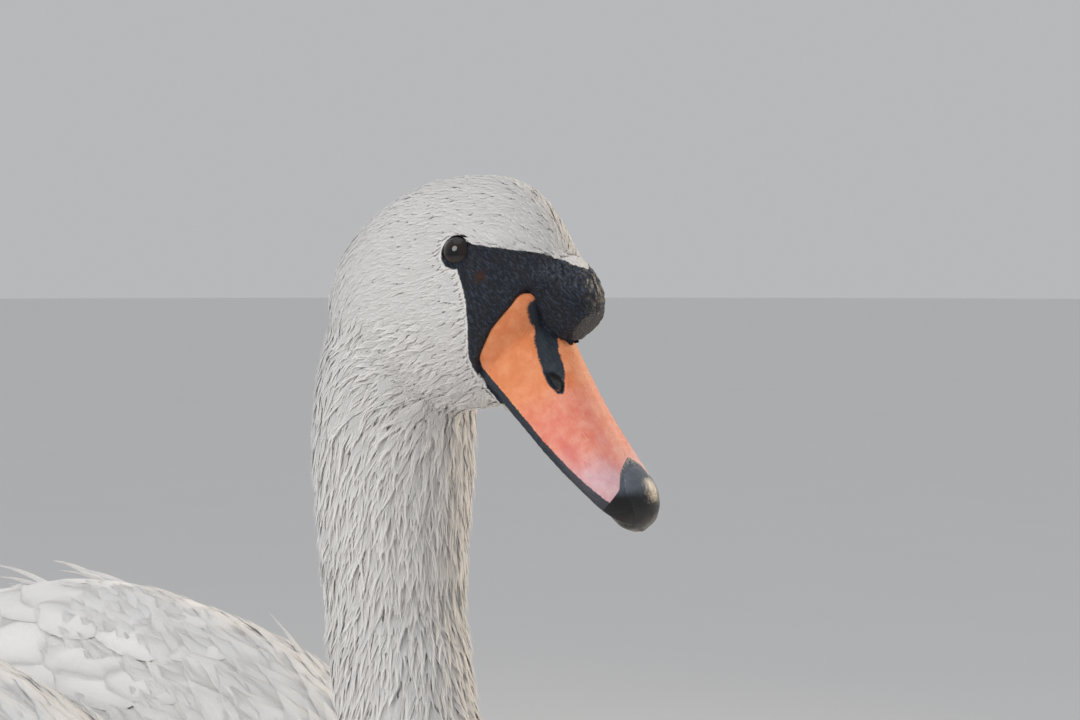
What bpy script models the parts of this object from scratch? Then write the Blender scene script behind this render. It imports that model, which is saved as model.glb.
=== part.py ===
"""A mute swan cob, life size, standing with its neck in a relaxed S and its wings a little arched.

Metres, +X the way the body faces, +Y the bird's left, +Z up, feet on z = 0. The head is turned a little to the
bird's left. Every solid reaches the outside of the plumage.
"""

import bmesh
import bpy
import numpy as np
from mathutils import Matrix, Vector

# ---- driving sizes -------------------------------------------------------------------------------------------
GAP = 0.0003  # between solids that touch
EYE_HEIGHT = 0.720
HEAD_AHEAD_OF_NECK = 0.0425  # eyes in front of the top of the neck
HEAD_TURN = np.radians(12)  # to the bird's left
BILL_PITCH = np.radians(43.5)  # below the horizontal
NECK_TOP_X = 0.165
BILL_EDGE = -0.0236  # the cutting edge, below the line from the eyes along the bill
EYE_RADIUS = 0.0064
EYE_AHEAD = 0.0035  # of the widest part of the head
EYE_SPREAD = 0.0205  # eyeball centre from the midline
FOOT_SPREAD = 0.070  # middle toe from the midline
TOE_ROOT_X = -0.105
ANKLE = Vector((-0.139, 0.066, 0.110))
TOE_LENGTH = 0.128
WEB_THICKNESS = 0.003
WEB_LIFT = 0.001  # the web hangs just clear of the ground between the toes

# ---- colours -------------------------------------------------------------------------------------------------
WHITE = ((0.86, 0.84, 0.80), 0.75)
SKIN_BLACK = ((0.025, 0.027, 0.032), 0.45)
BILL_ORANGE = ((0.85, 0.30, 0.12), 0.38)
NAIL_BLACK = ((0.012, 0.012, 0.014), 0.25)
EYE_BROWN = ((0.012, 0.007, 0.005), 0.06)
FOOT_BLACK = ((0.035, 0.035, 0.038), 0.55)


# ---- tools ---------------------------------------------------------------------------------------------------
def material(name, look):
    """The Principled material of that name, made once."""
    made = bpy.data.materials.get(name)
    if made is None:
        made = bpy.data.materials.new(name)
        made.use_nodes = True
        shader = made.node_tree.nodes["Principled BSDF"]
        colour, roughness = look
        shader.inputs["Base Color"].default_value = (*colour, 1)
        shader.inputs["Roughness"].default_value = roughness
        made.diffuse_color = (*colour, 1)
    return made


def through(stations, at):
    """A smooth curve through stations, {place: value or tuple}, read at each place in `at`, with no overshoot."""
    xs = np.array(sorted(stations), float)
    ys = np.array([np.atleast_1d(stations[x]) for x in sorted(stations)], float)
    at = np.atleast_1d(at)
    steps = np.diff(xs)[:, None]
    slopes = np.diff(ys, axis=0) / steps
    tangents = np.zeros_like(ys)
    tangents[0], tangents[-1] = slopes[0], slopes[-1]
    same_way = slopes[:-1] * slopes[1:] > 0
    mean = 2 * slopes[:-1] * slopes[1:] / np.where(same_way, slopes[:-1] + slopes[1:], 1)
    tangents[1:-1] = np.where(same_way, mean, 0)
    i = np.clip(np.searchsorted(xs, at, side="right") - 1, 0, len(xs) - 2)
    h = steps[i]
    t = ((at - xs[i])[:, None]) / h
    start = (1 + 2 * t) * (1 - t) ** 2 * ys[i] + t * (1 - t) ** 2 * h * tangents[i]
    end = t * t * (3 - 2 * t) * ys[i + 1] + t * t * (t - 1) * h * tangents[i + 1]
    return start + end


def spread(stations, count):
    """Places from the first station to the last, closer together near both ends, where a body rounds off."""
    first, last = max(stations), min(stations)
    return 0.5 * (first + last) + 0.5 * (first - last) * np.cos(np.linspace(0, np.pi, count))


def oval(half_width, up, down, sides, square=2.0, taper=0.0):
    """(across, height) points round an egg-shaped section. A taper above 0 narrows its top."""
    angle = np.arange(sides) * 2 * np.pi / sides
    across, high = np.cos(angle), np.sin(angle)
    across = np.sign(across) * np.abs(across) ** (2 / square)
    high = np.sign(high) * np.abs(high) ** (2 / square)
    across = across * half_width * (1 - taper * np.maximum(high, 0))
    return across, np.where(high > 0, high * up, high * down)


def solid(name, look, bm, place=None):
    """Closes a bmesh into an object of triangles, so that a copy cuts just as it does, faces out and smooth."""
    bmesh.ops.triangulate(bm, faces=bm.faces)
    bmesh.ops.recalc_face_normals(bm, faces=bm.faces)
    mesh = bpy.data.meshes.new(name)
    bm.to_mesh(mesh)
    bm.free()
    if place is not None:
        mesh.transform(place)
    mesh.shade_smooth()
    mesh.set_sharp_from_angle(angle=np.radians(40))
    mesh.materials.append(material(*look))
    made = bpy.data.objects.new(name, mesh)
    bpy.context.scene.collection.objects.link(made)
    return made


def loft(name, look, rings, place=None):
    """A closed solid through rings of points, each ring with as many points as the first."""
    bm = bmesh.new()
    loops = [[bm.verts.new(p) for p in ring] for ring in rings]
    count = len(loops[0])
    for here, there in zip(loops, loops[1:]):
        for i in range(count):
            j = (i + 1) % count
            bm.faces.new((here[i], here[j], there[j], there[i]))
    for end in (loops[0], loops[-1]):
        middle = bm.verts.new(sum((v.co for v in end), Vector()) / count)
        for i in range(count):
            bm.faces.new((end[i], end[(i + 1) % count], middle))
    return solid(name, look, bm, place)


def grown(obj, by):
    """A hidden copy of a solid, bigger by `by` all round, for cutting its neighbours clear of it."""
    copy = obj.copy()
    copy.data = obj.data.copy()
    copy.name = obj.name + "_clearance"
    normals = np.array([v.normal for v in copy.data.vertices])
    points = np.array([v.co for v in copy.data.vertices]) + normals * by
    copy.data.vertices.foreach_set("co", points.astype(np.float32).ravel())
    bpy.context.scene.collection.objects.link(copy)
    return copy


def combine(obj, other, operation, solver="EXACT"):
    """Bakes a Boolean of obj with other into obj's own mesh, and removes other."""
    boolean = obj.modifiers.new(operation.lower(), "BOOLEAN")
    boolean.operation, boolean.solver, boolean.object = operation, solver, other
    graph = bpy.context.evaluated_depsgraph_get()
    mesh = bpy.data.meshes.new_from_object(obj.evaluated_get(graph))
    obj.modifiers.clear()
    obj.data = mesh
    bpy.data.objects.remove(other)


def clear_of(obj, *others):
    """Cuts obj back so that it stops GAP short of each other solid."""
    for other in others:
        combine(obj, grown(other, GAP), "DIFFERENCE")


def along(points, radii, sides, squash=1.0):
    """Rings round a line of points in the XZ plane, square to it: radii across, and times squash in the plane."""
    ahead = np.gradient(points, axis=0)
    ahead /= np.linalg.norm(ahead, axis=1)[:, None]
    side = np.array([0.0, 1.0, 0.0])
    angle = np.arange(sides) * 2 * np.pi / sides
    rings = []
    for centre, way, radius in zip(points, ahead, radii):
        third = np.cross(way, side)
        ring = centre + radius * (np.cos(angle)[:, None] * side + squash * np.sin(angle)[:, None] * third)
        rings.append(ring)
    return rings


# ---- trunk, neck, tail ---------------------------------------------------------------------------------------
def trunk():
    """Breast to rump: place along X gives (mid height, half width, up, down)."""
    shape = {
        0.240: (0.338, 0.012, 0.014, 0.014),
        0.232: (0.336, 0.052, 0.052, 0.048),
        0.202: (0.331, 0.090, 0.084, 0.084),
        0.145: (0.321, 0.119, 0.108, 0.114),
        0.050: (0.310, 0.138, 0.126, 0.132),
        -0.060: (0.310, 0.142, 0.132, 0.134),
        -0.160: (0.320, 0.130, 0.120, 0.118),
        -0.250: (0.340, 0.104, 0.092, 0.088),
        -0.320: (0.358, 0.074, 0.058, 0.056),
        -0.370: (0.368, 0.046, 0.030, 0.030),
        -0.385: (0.370, 0.020, 0.014, 0.012),
    }
    places = spread(shape, 19)
    rings = []
    for x, (mid, half, up, down) in zip(places, through(shape, places)):
        across, high = oval(half, up, down, 20, square=2.15)
        rings.append([(x, y, mid + z) for y, z in zip(across, high)])
    return loft("trunk", ("plumage", WHITE), rings)


def neck_line(count):
    """The neck's centre line and radius, from inside the breast up to inside the head."""
    line = {
        0.00: (0.080, 0.325, 0.092),
        0.14: (0.145, 0.352, 0.086),
        0.27: (0.188, 0.398, 0.068),
        0.38: (0.200, 0.444, 0.0515),
        0.50: (0.188, 0.492, 0.0375),
        0.63: (0.170, 0.546, 0.0289),
        0.76: (0.1625, 0.600, 0.0289),
        0.87: (0.1625, 0.646, 0.0322),
        0.95: (0.1655, 0.674, 0.0330),
        1.00: (0.172, 0.690, 0.0220),
    }
    return through(line, np.linspace(0, 1, count))


def neck():
    """Three lengths of one tube, parted at flat rings."""
    data = neck_line(29)
    points = np.column_stack([data[:, 0], np.zeros(len(data)), data[:, 1]])
    rings = along(points, data[:, 2], 16)
    parts = []
    for name, first, last in (("neck_lower", 0, 11), ("neck_middle", 11, 19), ("neck_upper", 19, 28)):
        own = [np.array(r) for r in rings[first : last + 1]]
        ahead = points[first + 1] - points[first]
        if first:
            own[0] = own[0] + GAP * ahead / np.linalg.norm(ahead)
        parts.append(loft(name, ("plumage", WHITE), own))
    return parts


def tail():
    """The fan of tail feathers, folded to a blunt wedge: X gives (mid height, half width, half thickness)."""
    shape = {
        -0.290: (0.372, 0.052, 0.030),
        -0.350: (0.378, 0.065, 0.023),
        -0.430: (0.385, 0.070, 0.014),
        -0.500: (0.391, 0.058, 0.008),
        -0.545: (0.395, 0.036, 0.005),
        -0.562: (0.397, 0.013, 0.002),
    }
    places = np.linspace(max(shape), min(shape), 10)
    rings = []
    for x, (mid, half, thick) in zip(places, through(shape, places)):
        across, high = oval(half, thick, thick, 14)
        droop = -0.30 * across**2 / 0.070  # the fan is roof-shaped
        rings.append([(x, y, mid + z + d) for y, z, d in zip(across, high, droop)])
    return loft("tail", ("plumage", WHITE), rings)


# ---- wings ---------------------------------------------------------------------------------------------------
def wing(side, name):
    """One folded wing, arched over the back: X gives (lower edge, widest, crest height, midline valley)."""
    shape = {
        0.158: (0.395, 0.060, 0.408, 0.006),
        0.140: (0.355, 0.098, 0.440, 0.012),
        0.100: (0.325, 0.128, 0.494, 0.026),
        0.040: (0.298, 0.150, 0.543, 0.050),
        -0.040: (0.290, 0.160, 0.569, 0.068),
        -0.130: (0.298, 0.158, 0.579, 0.074),
        -0.220: (0.318, 0.143, 0.566, 0.070),
        -0.290: (0.348, 0.118, 0.536, 0.056),
        -0.345: (0.384, 0.086, 0.500, 0.036),
        -0.378: (0.410, 0.056, 0.475, 0.016),
        -0.392: (0.428, 0.024, 0.458, 0.006),
    }
    places = spread(shape, 17)
    inner, arc = 0.0015, np.linspace(0, np.pi / 2, 10)
    rings = []
    for x, (low, wide, crest, valley) in zip(places, through(shape, places)):
        spring = low + 0.36 * (crest - low)  # where the side turns in over the back
        across = inner + (wide - inner) * np.cos(arc) ** (2 / 2.35)
        high = spring + (crest - spring) * np.sin(arc) ** (2 / 2.35)
        high = high - valley * np.clip(1 - across / (0.50 * wide), 0, 1) ** 1.6
        side_low, full = spring - low, crest - low
        under = [(0.975 * wide, low + 0.6 * side_low), (0.90 * wide, low + 0.2 * side_low)]
        under += [(0.78 * wide, low), (0.5 * wide, low + 0.1 * full), (inner, low + 0.2 * full)]
        outline = list(zip(across, high))[::-1] + under
        rings.append([(x, side * y, z) for y, z in outline])
    return loft(name, ("plumage", WHITE), rings)


def wing_tip(side, name):
    """The folded primaries, a blade that runs back from under the wing to cross over the tail's edge."""
    shape = {
        0.00: (-0.170, 0.128, 0.372, 0.036, 0.012),
        0.35: (-0.285, 0.104, 0.390, 0.036, 0.011),
        0.70: (-0.405, 0.060, 0.416, 0.029, 0.009),
        0.92: (-0.474, 0.030, 0.431, 0.014, 0.005),
        1.00: (-0.500, 0.018, 0.437, 0.004, 0.002),
    }
    rings = []
    for x, y, z, tall, thick in through(shape, np.linspace(0, 1, 10)):
        across, high = oval(thick, tall, tall, 12)
        lean = 0.55 * high  # the top edge leans in over the back
        rings.append([(x, side * (y + a - 0.3 * b), z + b) for a, b in zip(across, lean)])
    return loft(name, ("plumage", WHITE), rings)


# ---- head ----------------------------------------------------------------------------------------------------
def head_place():
    """From head coordinates (forward, left, up from the point between the eyes) to the row frame."""
    turn = Matrix.Rotation(HEAD_TURN, 4, "Z")
    start = Vector((NECK_TOP_X, 0, EYE_HEIGHT))
    return Matrix.Translation(start + turn @ Vector((HEAD_AHEAD_OF_NECK, 0, 0))) @ turn


def bill_place():
    """The same, with X along the bill."""
    return head_place() @ Matrix.Rotation(BILL_PITCH, 4, "Y")


def head():
    """Crown, cheeks and throat: forward place gives (widest height, half width, up, down, narrower top)."""
    shape = {
        -0.0680: (-0.022, 0.003, 0.003, 0.003, 0.10),
        -0.0633: (-0.022, 0.017, 0.021, 0.022, 0.10),
        -0.0517: (-0.023, 0.0250, 0.036, 0.027, 0.12),
        -0.0380: (-0.024, 0.0295, 0.0455, 0.031, 0.14),
        -0.0200: (-0.024, 0.0318, 0.0520, 0.0330, 0.16),
        0.0000: (-0.024, 0.0312, 0.0533, 0.0335, 0.18),
        0.0093: (-0.023, 0.0298, 0.0512, 0.0325, 0.20),
        0.0175: (-0.019, 0.0275, 0.0450, 0.0270, 0.25),
        0.0247: (-0.015, 0.0240, 0.0355, 0.0210, 0.34),
        0.0312: (-0.011, 0.0190, 0.0240, 0.0150, 0.48),
        0.0362: (-0.009, 0.0120, 0.0120, 0.0090, 0.55),
        0.0384: (-0.008, 0.0040, 0.0030, 0.0030, 0.20),
    }
    places = spread(shape, 16)
    rings = []
    for x, (mid, half, up, down, taper) in zip(places, through(shape, places)):
        across, high = oval(half, up, down, 22, 2.1, taper)
        rings.append([(x, y, mid + z) for y, z in zip(across, high)])
    return loft("head", ("plumage", WHITE), rings, head_place())


def bill_section(x, half, top, bottom, sides, square):
    """A D-shaped section: a flat cutting edge below and an arch above."""
    arc = np.linspace(0, np.pi, sides)
    across = np.cos(arc)
    arch = [
        (x, half * np.sign(c) * abs(c) ** (2 / square), bottom + (top - bottom) * s ** (2 / square))
        for c, s in zip(across, np.sin(arc).clip(0, 1))
    ]
    floor = [(x, half * c, bottom - 0.0008 * (1 - c * c)) for c in (-0.5, 0.0, 0.5)]
    return arch + floor


def bill_upper():
    """The upper bill without its nail: place along it gives (half width, top, dip of its edge, squareness)."""
    shape = {
        0.0181: (0.0225, 0.0040, 0.0000, 2.0),
        0.0301: (0.0216, 0.0062, -0.0004, 2.0),
        0.0402: (0.0194, 0.0055, -0.0012, 2.0),
        0.0522: (0.0171, 0.0018, -0.0024, 2.0),
        0.0704: (0.0165, -0.0037, -0.0026, 2.05),
        0.0885: (0.0172, -0.0080, -0.0014, 2.15),
        0.1005: (0.0172, -0.0102, 0.0000, 2.2),
        0.1086: (0.0150, -0.0124, 0.0006, 2.2),
        0.1136: (0.0110, -0.0146, 0.0012, 2.2),
        0.1161: (0.0060, -0.0168, 0.0018, 2.1),
    }
    places = np.concatenate([np.linspace(0.0181, 0.0985, 8), [0.1055, 0.1106, 0.1141, 0.1161]])
    values = through(shape, places)
    rings = [
        bill_section(x, half, top, BILL_EDGE + dip, 13, square)
        for x, (half, top, dip, square) in zip(places, values)
    ]
    return loft("bill_upper", ("bill", BILL_ORANGE), rings, bill_place())


def bill_lower():
    """The lower bill, shut inside the upper one's edge."""
    shape = {
        0.0282: (0.0180, 0.0085),
        0.0603: (0.0142, 0.0060),
        0.0935: (0.0138, 0.0044),
        0.1035: (0.0100, 0.0034),
        0.1076: (0.0050, 0.0022),
    }
    places = np.linspace(min(shape), max(shape), 9)
    rings = []
    for x, (half, deep) in zip(places, through(shape, places)):
        arc = np.linspace(np.pi, 2 * np.pi, 9)
        edge = BILL_EDGE - 0.0026 + 0.0030 * max(0.0, (x - 0.0855) / 0.022) ** 2
        rings.append([(x, half * np.cos(a), edge + deep * np.sin(a)) for a in arc])
    return loft("bill_lower", ("skin_black", SKIN_BLACK), rings, bill_place())


def ball(name, look, centre, radii, place, tilt=0.0):
    """An ellipsoid, pitched nose-down by tilt."""
    bm = bmesh.new()
    bmesh.ops.create_uvsphere(bm, u_segments=12, v_segments=8, radius=1)
    shape = Matrix.Translation(centre) @ Matrix.Rotation(tilt, 4, "Y") @ Matrix.Diagonal((*radii, 1))
    return solid(name, look, bm, place @ shape)


def nail():
    """The hard nail at the bill's tip, hooked a little over the lower bill."""
    look, radii = ("nail", NAIL_BLACK), (0.0125, 0.0112, 0.0088)
    return ball("bill_nail", look, (0.1063, 0, -0.0186), radii, bill_place(), np.radians(24))


def knob():
    """The knob at the bill's base, where the forehead's feathers stop."""
    look = ("skin_black", SKIN_BLACK)
    return ball("bill_knob", look, (0.0366, 0, 0.0135), (0.0160, 0.0116, 0.0122), bill_place(), np.radians(12))


def eyes():
    """Both eyeballs, standing a little proud of the head's side."""
    look, radii = ("eye", EYE_BROWN), (EYE_RADIUS,) * 3
    return [
        ball(f"eye_{word}", look, (EYE_AHEAD, side * EYE_SPREAD, 0), radii, head_place())
        for side, word in ((1, "left"), (-1, "right"))
    ]


# ---- legs ----------------------------------------------------------------------------------------------------
def beside(side, point):
    """A point on the bird's left, moved to its own side."""
    return Vector((point[0], side * point[1], point[2]))


def rod(name, look, points, radii, sides=9):
    """A round rod through points in space, from a named list of radii."""
    points = np.array([list(p) for p in points])
    ahead = np.gradient(points, axis=0)
    ahead /= np.linalg.norm(ahead, axis=1)[:, None]
    angle = np.arange(sides) * 2 * np.pi / sides
    rings = []
    for centre, way, radius in zip(points, ahead, radii):
        across = np.cross([0.0, 1.0, 0.0], way)
        across /= np.linalg.norm(across)
        third = np.cross(way, across)
        rings.append(centre + radius * (np.cos(angle)[:, None] * across + np.sin(angle)[:, None] * third))
    return loft(name, look, rings)


def thigh(side, name):
    """The feathered shin, from the ankle up into the belly."""
    top = Vector((-0.100, 0.070, 0.250))
    steps = np.linspace(0, 1, 7)
    radii = through({0: (0.0125,), 0.25: (0.0185,), 0.6: (0.036,), 1: (0.050,)}, steps)[:, 0]
    start = ANKLE + Vector((0.003, 0, 0.008))
    points = [beside(side, start.lerp(top, t)) for t in steps]
    return rod(name, ("plumage", WHITE), points, radii, 12)


def shank(side, name):
    """The bare leg, from the toes' root up to the ankle."""
    foot = Vector((TOE_ROOT_X, FOOT_SPREAD, 0.014))
    steps = np.linspace(0, 1, 9)
    radii = through({0: (0.0095,), 0.15: (0.0080,), 0.75: (0.0072,), 0.93: (0.0108,), 1: (0.0098,)}, steps)[:, 0]
    top = ANKLE + Vector((0.0005, 0, 0.004))
    points = [beside(side, foot.lerp(top, t)) for t in steps]
    return rod(name, ("foot", FOOT_BLACK), points, radii)


def toe(name, root, yaw, length, radius, arch=0.0015):
    """One toe lying flat on the ground but for its arched root, knuckled, with its claw at the end."""
    way = Vector((np.cos(yaw), np.sin(yaw), 0))
    across = Vector((-np.sin(yaw), np.cos(yaw), 0))
    rings = []
    for t in np.linspace(0, 1, 8):
        swell = 1 - 0.14 * np.cos(6 * np.pi * t)  # three joints
        size = radius * (1 - 0.45 * t) * swell
        if t > 0.88:
            size *= 1 - 6.0 * (t - 0.88)  # the claw
        ring = []
        for angle in (np.arange(8) + 0.5) * 2 * np.pi / 8:
            height = max(0.0, 0.72 * size + size * np.sin(angle)) + arch * max(0.0, 1 - t / 0.27)
            beside = across * (size * np.cos(angle))
            ring.append(Vector(root) + way * (t * length) + beside + Vector((0, 0, height)))
        rings.append(ring)
    return loft(name, ("foot", FOOT_BLACK), rings)


def toe_root(side):
    """The ball of the foot, which the leg stands on."""
    place = Matrix.Translation((TOE_ROOT_X, side * FOOT_SPREAD, 0.0105))
    return ball("toe_root", ("foot", FOOT_BLACK), (0, 0, 0), (0.0140, 0.0130, 0.0095), place)


def foot(side, name):
    """Three front toes with the web between them, and the small hind toe."""
    root = Vector((TOE_ROOT_X, side * FOOT_SPREAD, 0))
    yaws = [np.radians(a) * side for a in (-31, -2, 25)]  # inner, middle, outer
    lengths = [0.84 * TOE_LENGTH, TOE_LENGTH, 0.96 * TOE_LENGTH]
    made = toe(name, root, yaws[1], lengths[1], 0.0078)
    for yaw, length, arch in ((yaws[0], lengths[0], 0.0021), (yaws[2], lengths[2], 0.0027)):
        combine(made, toe("toe", root, yaw, length, 0.0070, arch), "UNION", "MANIFOLD")
    hind = toe("toe", root + Vector((-0.004, -side * 0.004, 0.0005)), np.pi - side * 0.35, 0.026, 0.0045, 0.0033)
    combine(made, hind, "UNION", "MANIFOLD")
    combine(made, toe_root(side), "UNION", "MANIFOLD")
    tips = [root + 0.90 * n * Vector((np.cos(a), np.sin(a), 0)) for a, n in zip(yaws, lengths)]
    outline = [root]
    for here, there in zip(tips, tips[1:]):
        for t in np.linspace(0, 1, 5)[: 5 if there is tips[-1] else 4]:
            scallop = 1 - 0.13 * np.sin(np.pi * t)  # the free edge curves in between two toes
            outline.append(root + (here.lerp(there, t) - root) * scallop)
    bm = bmesh.new()
    under = bm.faces.new([bm.verts.new(p + Vector((0, 0, WEB_LIFT))) for p in outline])
    grown_up = bmesh.ops.extrude_face_region(bm, geom=[under])
    raised = [v for v in grown_up["geom"] if isinstance(v, bmesh.types.BMVert)]
    bmesh.ops.translate(bm, verts=raised, vec=(0, 0, WEB_THICKNESS))
    combine(made, solid("web", ("foot", FOOT_BLACK), bm), "UNION", "MANIFOLD")
    return made


# ---- the whole bird ------------------------------------------------------------------------------------------
def centre_on_floor():
    """Moves the whole bird so that the middle of its box is over the origin."""
    bpy.context.view_layer.update()
    shown = list(bpy.context.scene.objects)
    corners = np.array([o.matrix_world @ Vector(c) for o in shown for c in o.bound_box])
    middle = (corners.min(axis=0) + corners.max(axis=0)) / 2
    for obj in shown:
        obj.data.transform(Matrix.Translation((-middle[0], -middle[1], 0)))


def build():
    for old in list(bpy.data.objects):
        bpy.data.objects.remove(old)
    body = trunk()
    lower, _, upper = neck()
    skull = head()
    beak, jaw, tip, bump = bill_upper(), bill_lower(), nail(), knob()
    balls = eyes()
    clear_of(skull, *balls, beak, jaw, bump)
    clear_of(jaw, tip, beak)
    clear_of(beak, tip, bump)
    clear_of(upper, skull)
    clear_of(lower, body)
    fan = tail()
    clear_of(fan, body)
    for side, word in ((1, "left"), (-1, "right")):
        cover = wing(side, f"wing_{word}")
        clear_of(cover, body, lower)
        tips = wing_tip(side, f"wing_tip_{word}")
        clear_of(tips, cover, body, fan)
        foot(side, f"foot_{word}")
        leg = shank(side, f"leg_{word}")
        ball_of_foot = toe_root(side)
        clear_of(leg, ball_of_foot)
        bpy.data.objects.remove(ball_of_foot)
        shin = thigh(side, f"thigh_{word}")
        clear_of(shin, leg, body)
    centre_on_floor()


build()
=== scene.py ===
"""The looks of a still, life-size mute swan: one skin, bill, eyes and claws, and a coat of solid feathers."""

import math

import bmesh
import bpy
import numpy as np
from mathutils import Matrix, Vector, noise
from mathutils.bvhtree import BVHTree


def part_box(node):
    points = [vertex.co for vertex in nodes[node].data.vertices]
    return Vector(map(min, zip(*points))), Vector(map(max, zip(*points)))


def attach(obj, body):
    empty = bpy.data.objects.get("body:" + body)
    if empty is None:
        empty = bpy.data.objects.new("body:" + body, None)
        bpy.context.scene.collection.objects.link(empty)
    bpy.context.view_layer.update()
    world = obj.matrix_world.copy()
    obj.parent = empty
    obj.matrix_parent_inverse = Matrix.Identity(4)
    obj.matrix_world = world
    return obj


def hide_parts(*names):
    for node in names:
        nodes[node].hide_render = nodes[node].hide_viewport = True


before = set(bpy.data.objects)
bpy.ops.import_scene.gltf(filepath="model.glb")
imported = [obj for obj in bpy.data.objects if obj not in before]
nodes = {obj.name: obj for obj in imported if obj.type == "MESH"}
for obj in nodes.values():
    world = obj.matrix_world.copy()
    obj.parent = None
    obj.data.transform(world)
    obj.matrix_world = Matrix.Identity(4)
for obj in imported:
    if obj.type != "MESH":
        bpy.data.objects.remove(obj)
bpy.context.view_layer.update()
MM = 0.001
SIDES = {"left": 1, "right": -1}


# ---- places on the bird, all from the CAD ----
def unit(vectors):
    vectors = np.asarray(vectors, float)
    return vectors / (np.linalg.norm(vectors, axis=-1, keepdims=True) + 1e-12)


def middle(name):
    low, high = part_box(name)
    return np.array((low + high) / 2)


def corners(name):
    """The low and the high corner of a CAD node's box."""
    return [np.array(corner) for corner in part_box(name)]


UP = np.array([0.0, 0.0, 1.0])
BROW = (middle("eye_left") + middle("eye_right")) / 2
LEFT = unit(middle("eye_left") - middle("eye_right"))
AHEAD = np.cross(LEFT, UP)
EYE_RADIUS = (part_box("eye_left")[1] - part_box("eye_left")[0]).z / 2
BILL_PITCH = math.radians(43.5)
ALONG = math.cos(BILL_PITCH) * AHEAD - math.sin(BILL_PITCH) * UP
OVER = math.sin(BILL_PITCH) * AHEAD + math.cos(BILL_PITCH) * UP
HEAD_AXES = np.array([AHEAD, LEFT, UP])
BILL_AXES = np.array([ALONG, LEFT, OVER])


def in_head(points):
    """Millimetres ahead, to the left and up from the middle of the brow."""
    return (np.asarray(points) - BROW) @ HEAD_AXES.T / MM


def in_bill(points):
    """Millimetres along the bill, to the left and above it, from the middle of the brow."""
    return (np.asarray(points) - BROW) @ BILL_AXES.T / MM


def out_of_bill(local):
    return np.asarray(local) * MM @ BILL_AXES + BROW


def ease(low, high, value):
    """0 below low, 1 above high, and a smooth slope between."""
    t = np.clip((np.asarray(value, float) - low) / (high - low), 0, 1)
    return t * t * (3 - 2 * t)


def bell(value, centre, width):
    """1 at the centre, falling away smoothly on both sides."""
    return np.exp(-(((value - centre) / width) ** 2))


def outline_depth(outline, x, y):
    """How far each place lies inside a closed outline; outside is below zero."""
    inside = np.zeros(len(x), bool)
    nearest = np.full(len(x), 1e9)
    for (ax, ay), (bx, by) in zip(outline, outline[1:] + outline[:1]):
        dx, dy = bx - ax, by - ay
        t = np.clip(((x - ax) * dx + (y - ay) * dy) / (dx * dx + dy * dy + 1e-12), 0, 1)
        nearest = np.minimum(nearest, np.hypot(x - ax - t * dx, y - ay - t * dy))
        crosses = (ay > y) != (by > y)
        inside ^= crosses & (x < ax + (y - ay) * dx / np.where(abs(dy) < 1e-12, 1e-12, dy))
    return np.where(inside, nearest, -nearest)


def share(name, axis, values):
    """How far along a CAD node's box each value lies: 0 at its low end, 1 at its high end."""
    low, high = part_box(name)
    return (values - low[axis]) / (high[axis] - low[axis])


# ---- the face's markings, in millimetres beside the bill ----
BARE_FACE = [(-1.5, 3.0), (2.2, 6.8), (6.8, 10.0), (11.1, 13.1), (13, 15), (13, 40), (75, 40), (130, 10),
             (130, -70), (56, -70), (50, -29), (40.5, -28.4), (36.4, -25.6), (31.2, -20.9), (28.2, -16.5),
             (24.4, -11.7), (19.6, -7.4), (13, -3.9), (6.7, -1.7), (0, -1.8)]
ORANGE = [(30.4, 11.7), (28.8, 10.6), (28.5, 7.6), (29.6, 2.8), (30.0, -3.2), (30.5, -8.3), (31.8, -13.9),
          (33.4, -20.0), (35.4, -22.8), (38.6, -23.7), (52, -24.8), (70, -25.0), (86, -23.6), (98, -22.0),
          (106, -21.0), (130, -19), (130, 20), (60, 20), (52, 6.5), (48.5, 3.0), (45.5, 1.6), (41.6, 2.4),
          (37.8, 4.6), (33.2, 9.3)]
NOSTRIL_BAND = [(32.1, 7.0), (33.0, 4.2), (35.9, -0.3), (40.9, -4.7), (47.2, -7.8), (51.5, -9.7),
                (56.5, -11.2), (61.4, -11.0), (62.6, -9.8), (59.9, -7.6), (56.6, -5.6), (54.3, -4.5),
                (48.6, -2.4), (44.3, 0.0), (41.0, 3.0), (37.4, 6.6), (34.4, 9.4), (32.7, 9.2)]
NOSTRIL = [(52.1, -9.3), (53.6, -7.4), (56.8, -6.9), (59.9, -7.9), (61.6, -9.6), (60.6, -10.5),
           (56.6, -10.4)]
FOREHEAD_WEDGE = [(13, 30), (17, 24), (19.3, 15.5), (22.3, 11.4), (25, 7.6), (28.8, 5.8), (32, 3.9),
                  (34.6, 0)]
BROW_EDGE = [(11.1, 13.1), (15.4, 16.1), (19.3, 18.9), (22.3, 20.7), (25, 21.0), (28.8, 20.8), (34.6, 19.6)]
NAIL = [(92.6, 0.0), (95.3, 4.8), (97.7, 8.0), (103.0, 11.3), (104.6, 14.5), (107.0, 22.0)]
EYE_PLACE = in_head(middle("eye_right"))
LIDS = (EYE_PLACE[0] + 1.5, EYE_PLACE[2] + 0.4)  # ahead and up, the middle of the opening between the lids
EYE_RIM = 6.1  # from there to the edge of the bare rim
ON_CHEEK = 12  # the sides of the head lie further out than this


def bare_depth(points):
    """How deep in the bare black face each point is, in millimetres, with the eye's rim counted in."""
    x, y, z = in_bill(points).T
    depth = outline_depth(BARE_FACE, x, z)
    wedge = np.interp(x, *zip(*FOREHEAD_WEDGE), right=-3)
    brow = np.interp(x, *zip(*BROW_EDGE))
    depth = np.where(x > 12, np.minimum(depth, np.maximum(abs(y) - wedge, brow - z)), depth)
    ahead, side, up = in_head(points).T
    rim = EYE_RIM - np.hypot(ahead - LIDS[0], up - LIDS[1])
    return np.maximum(depth, np.where(abs(side) > ON_CHEEK, rim, -50))


# ---- meshes ----
def object_of(name, mesh):
    made = bpy.data.objects.new(name, mesh)
    bpy.context.scene.collection.objects.link(made)
    return made


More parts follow.
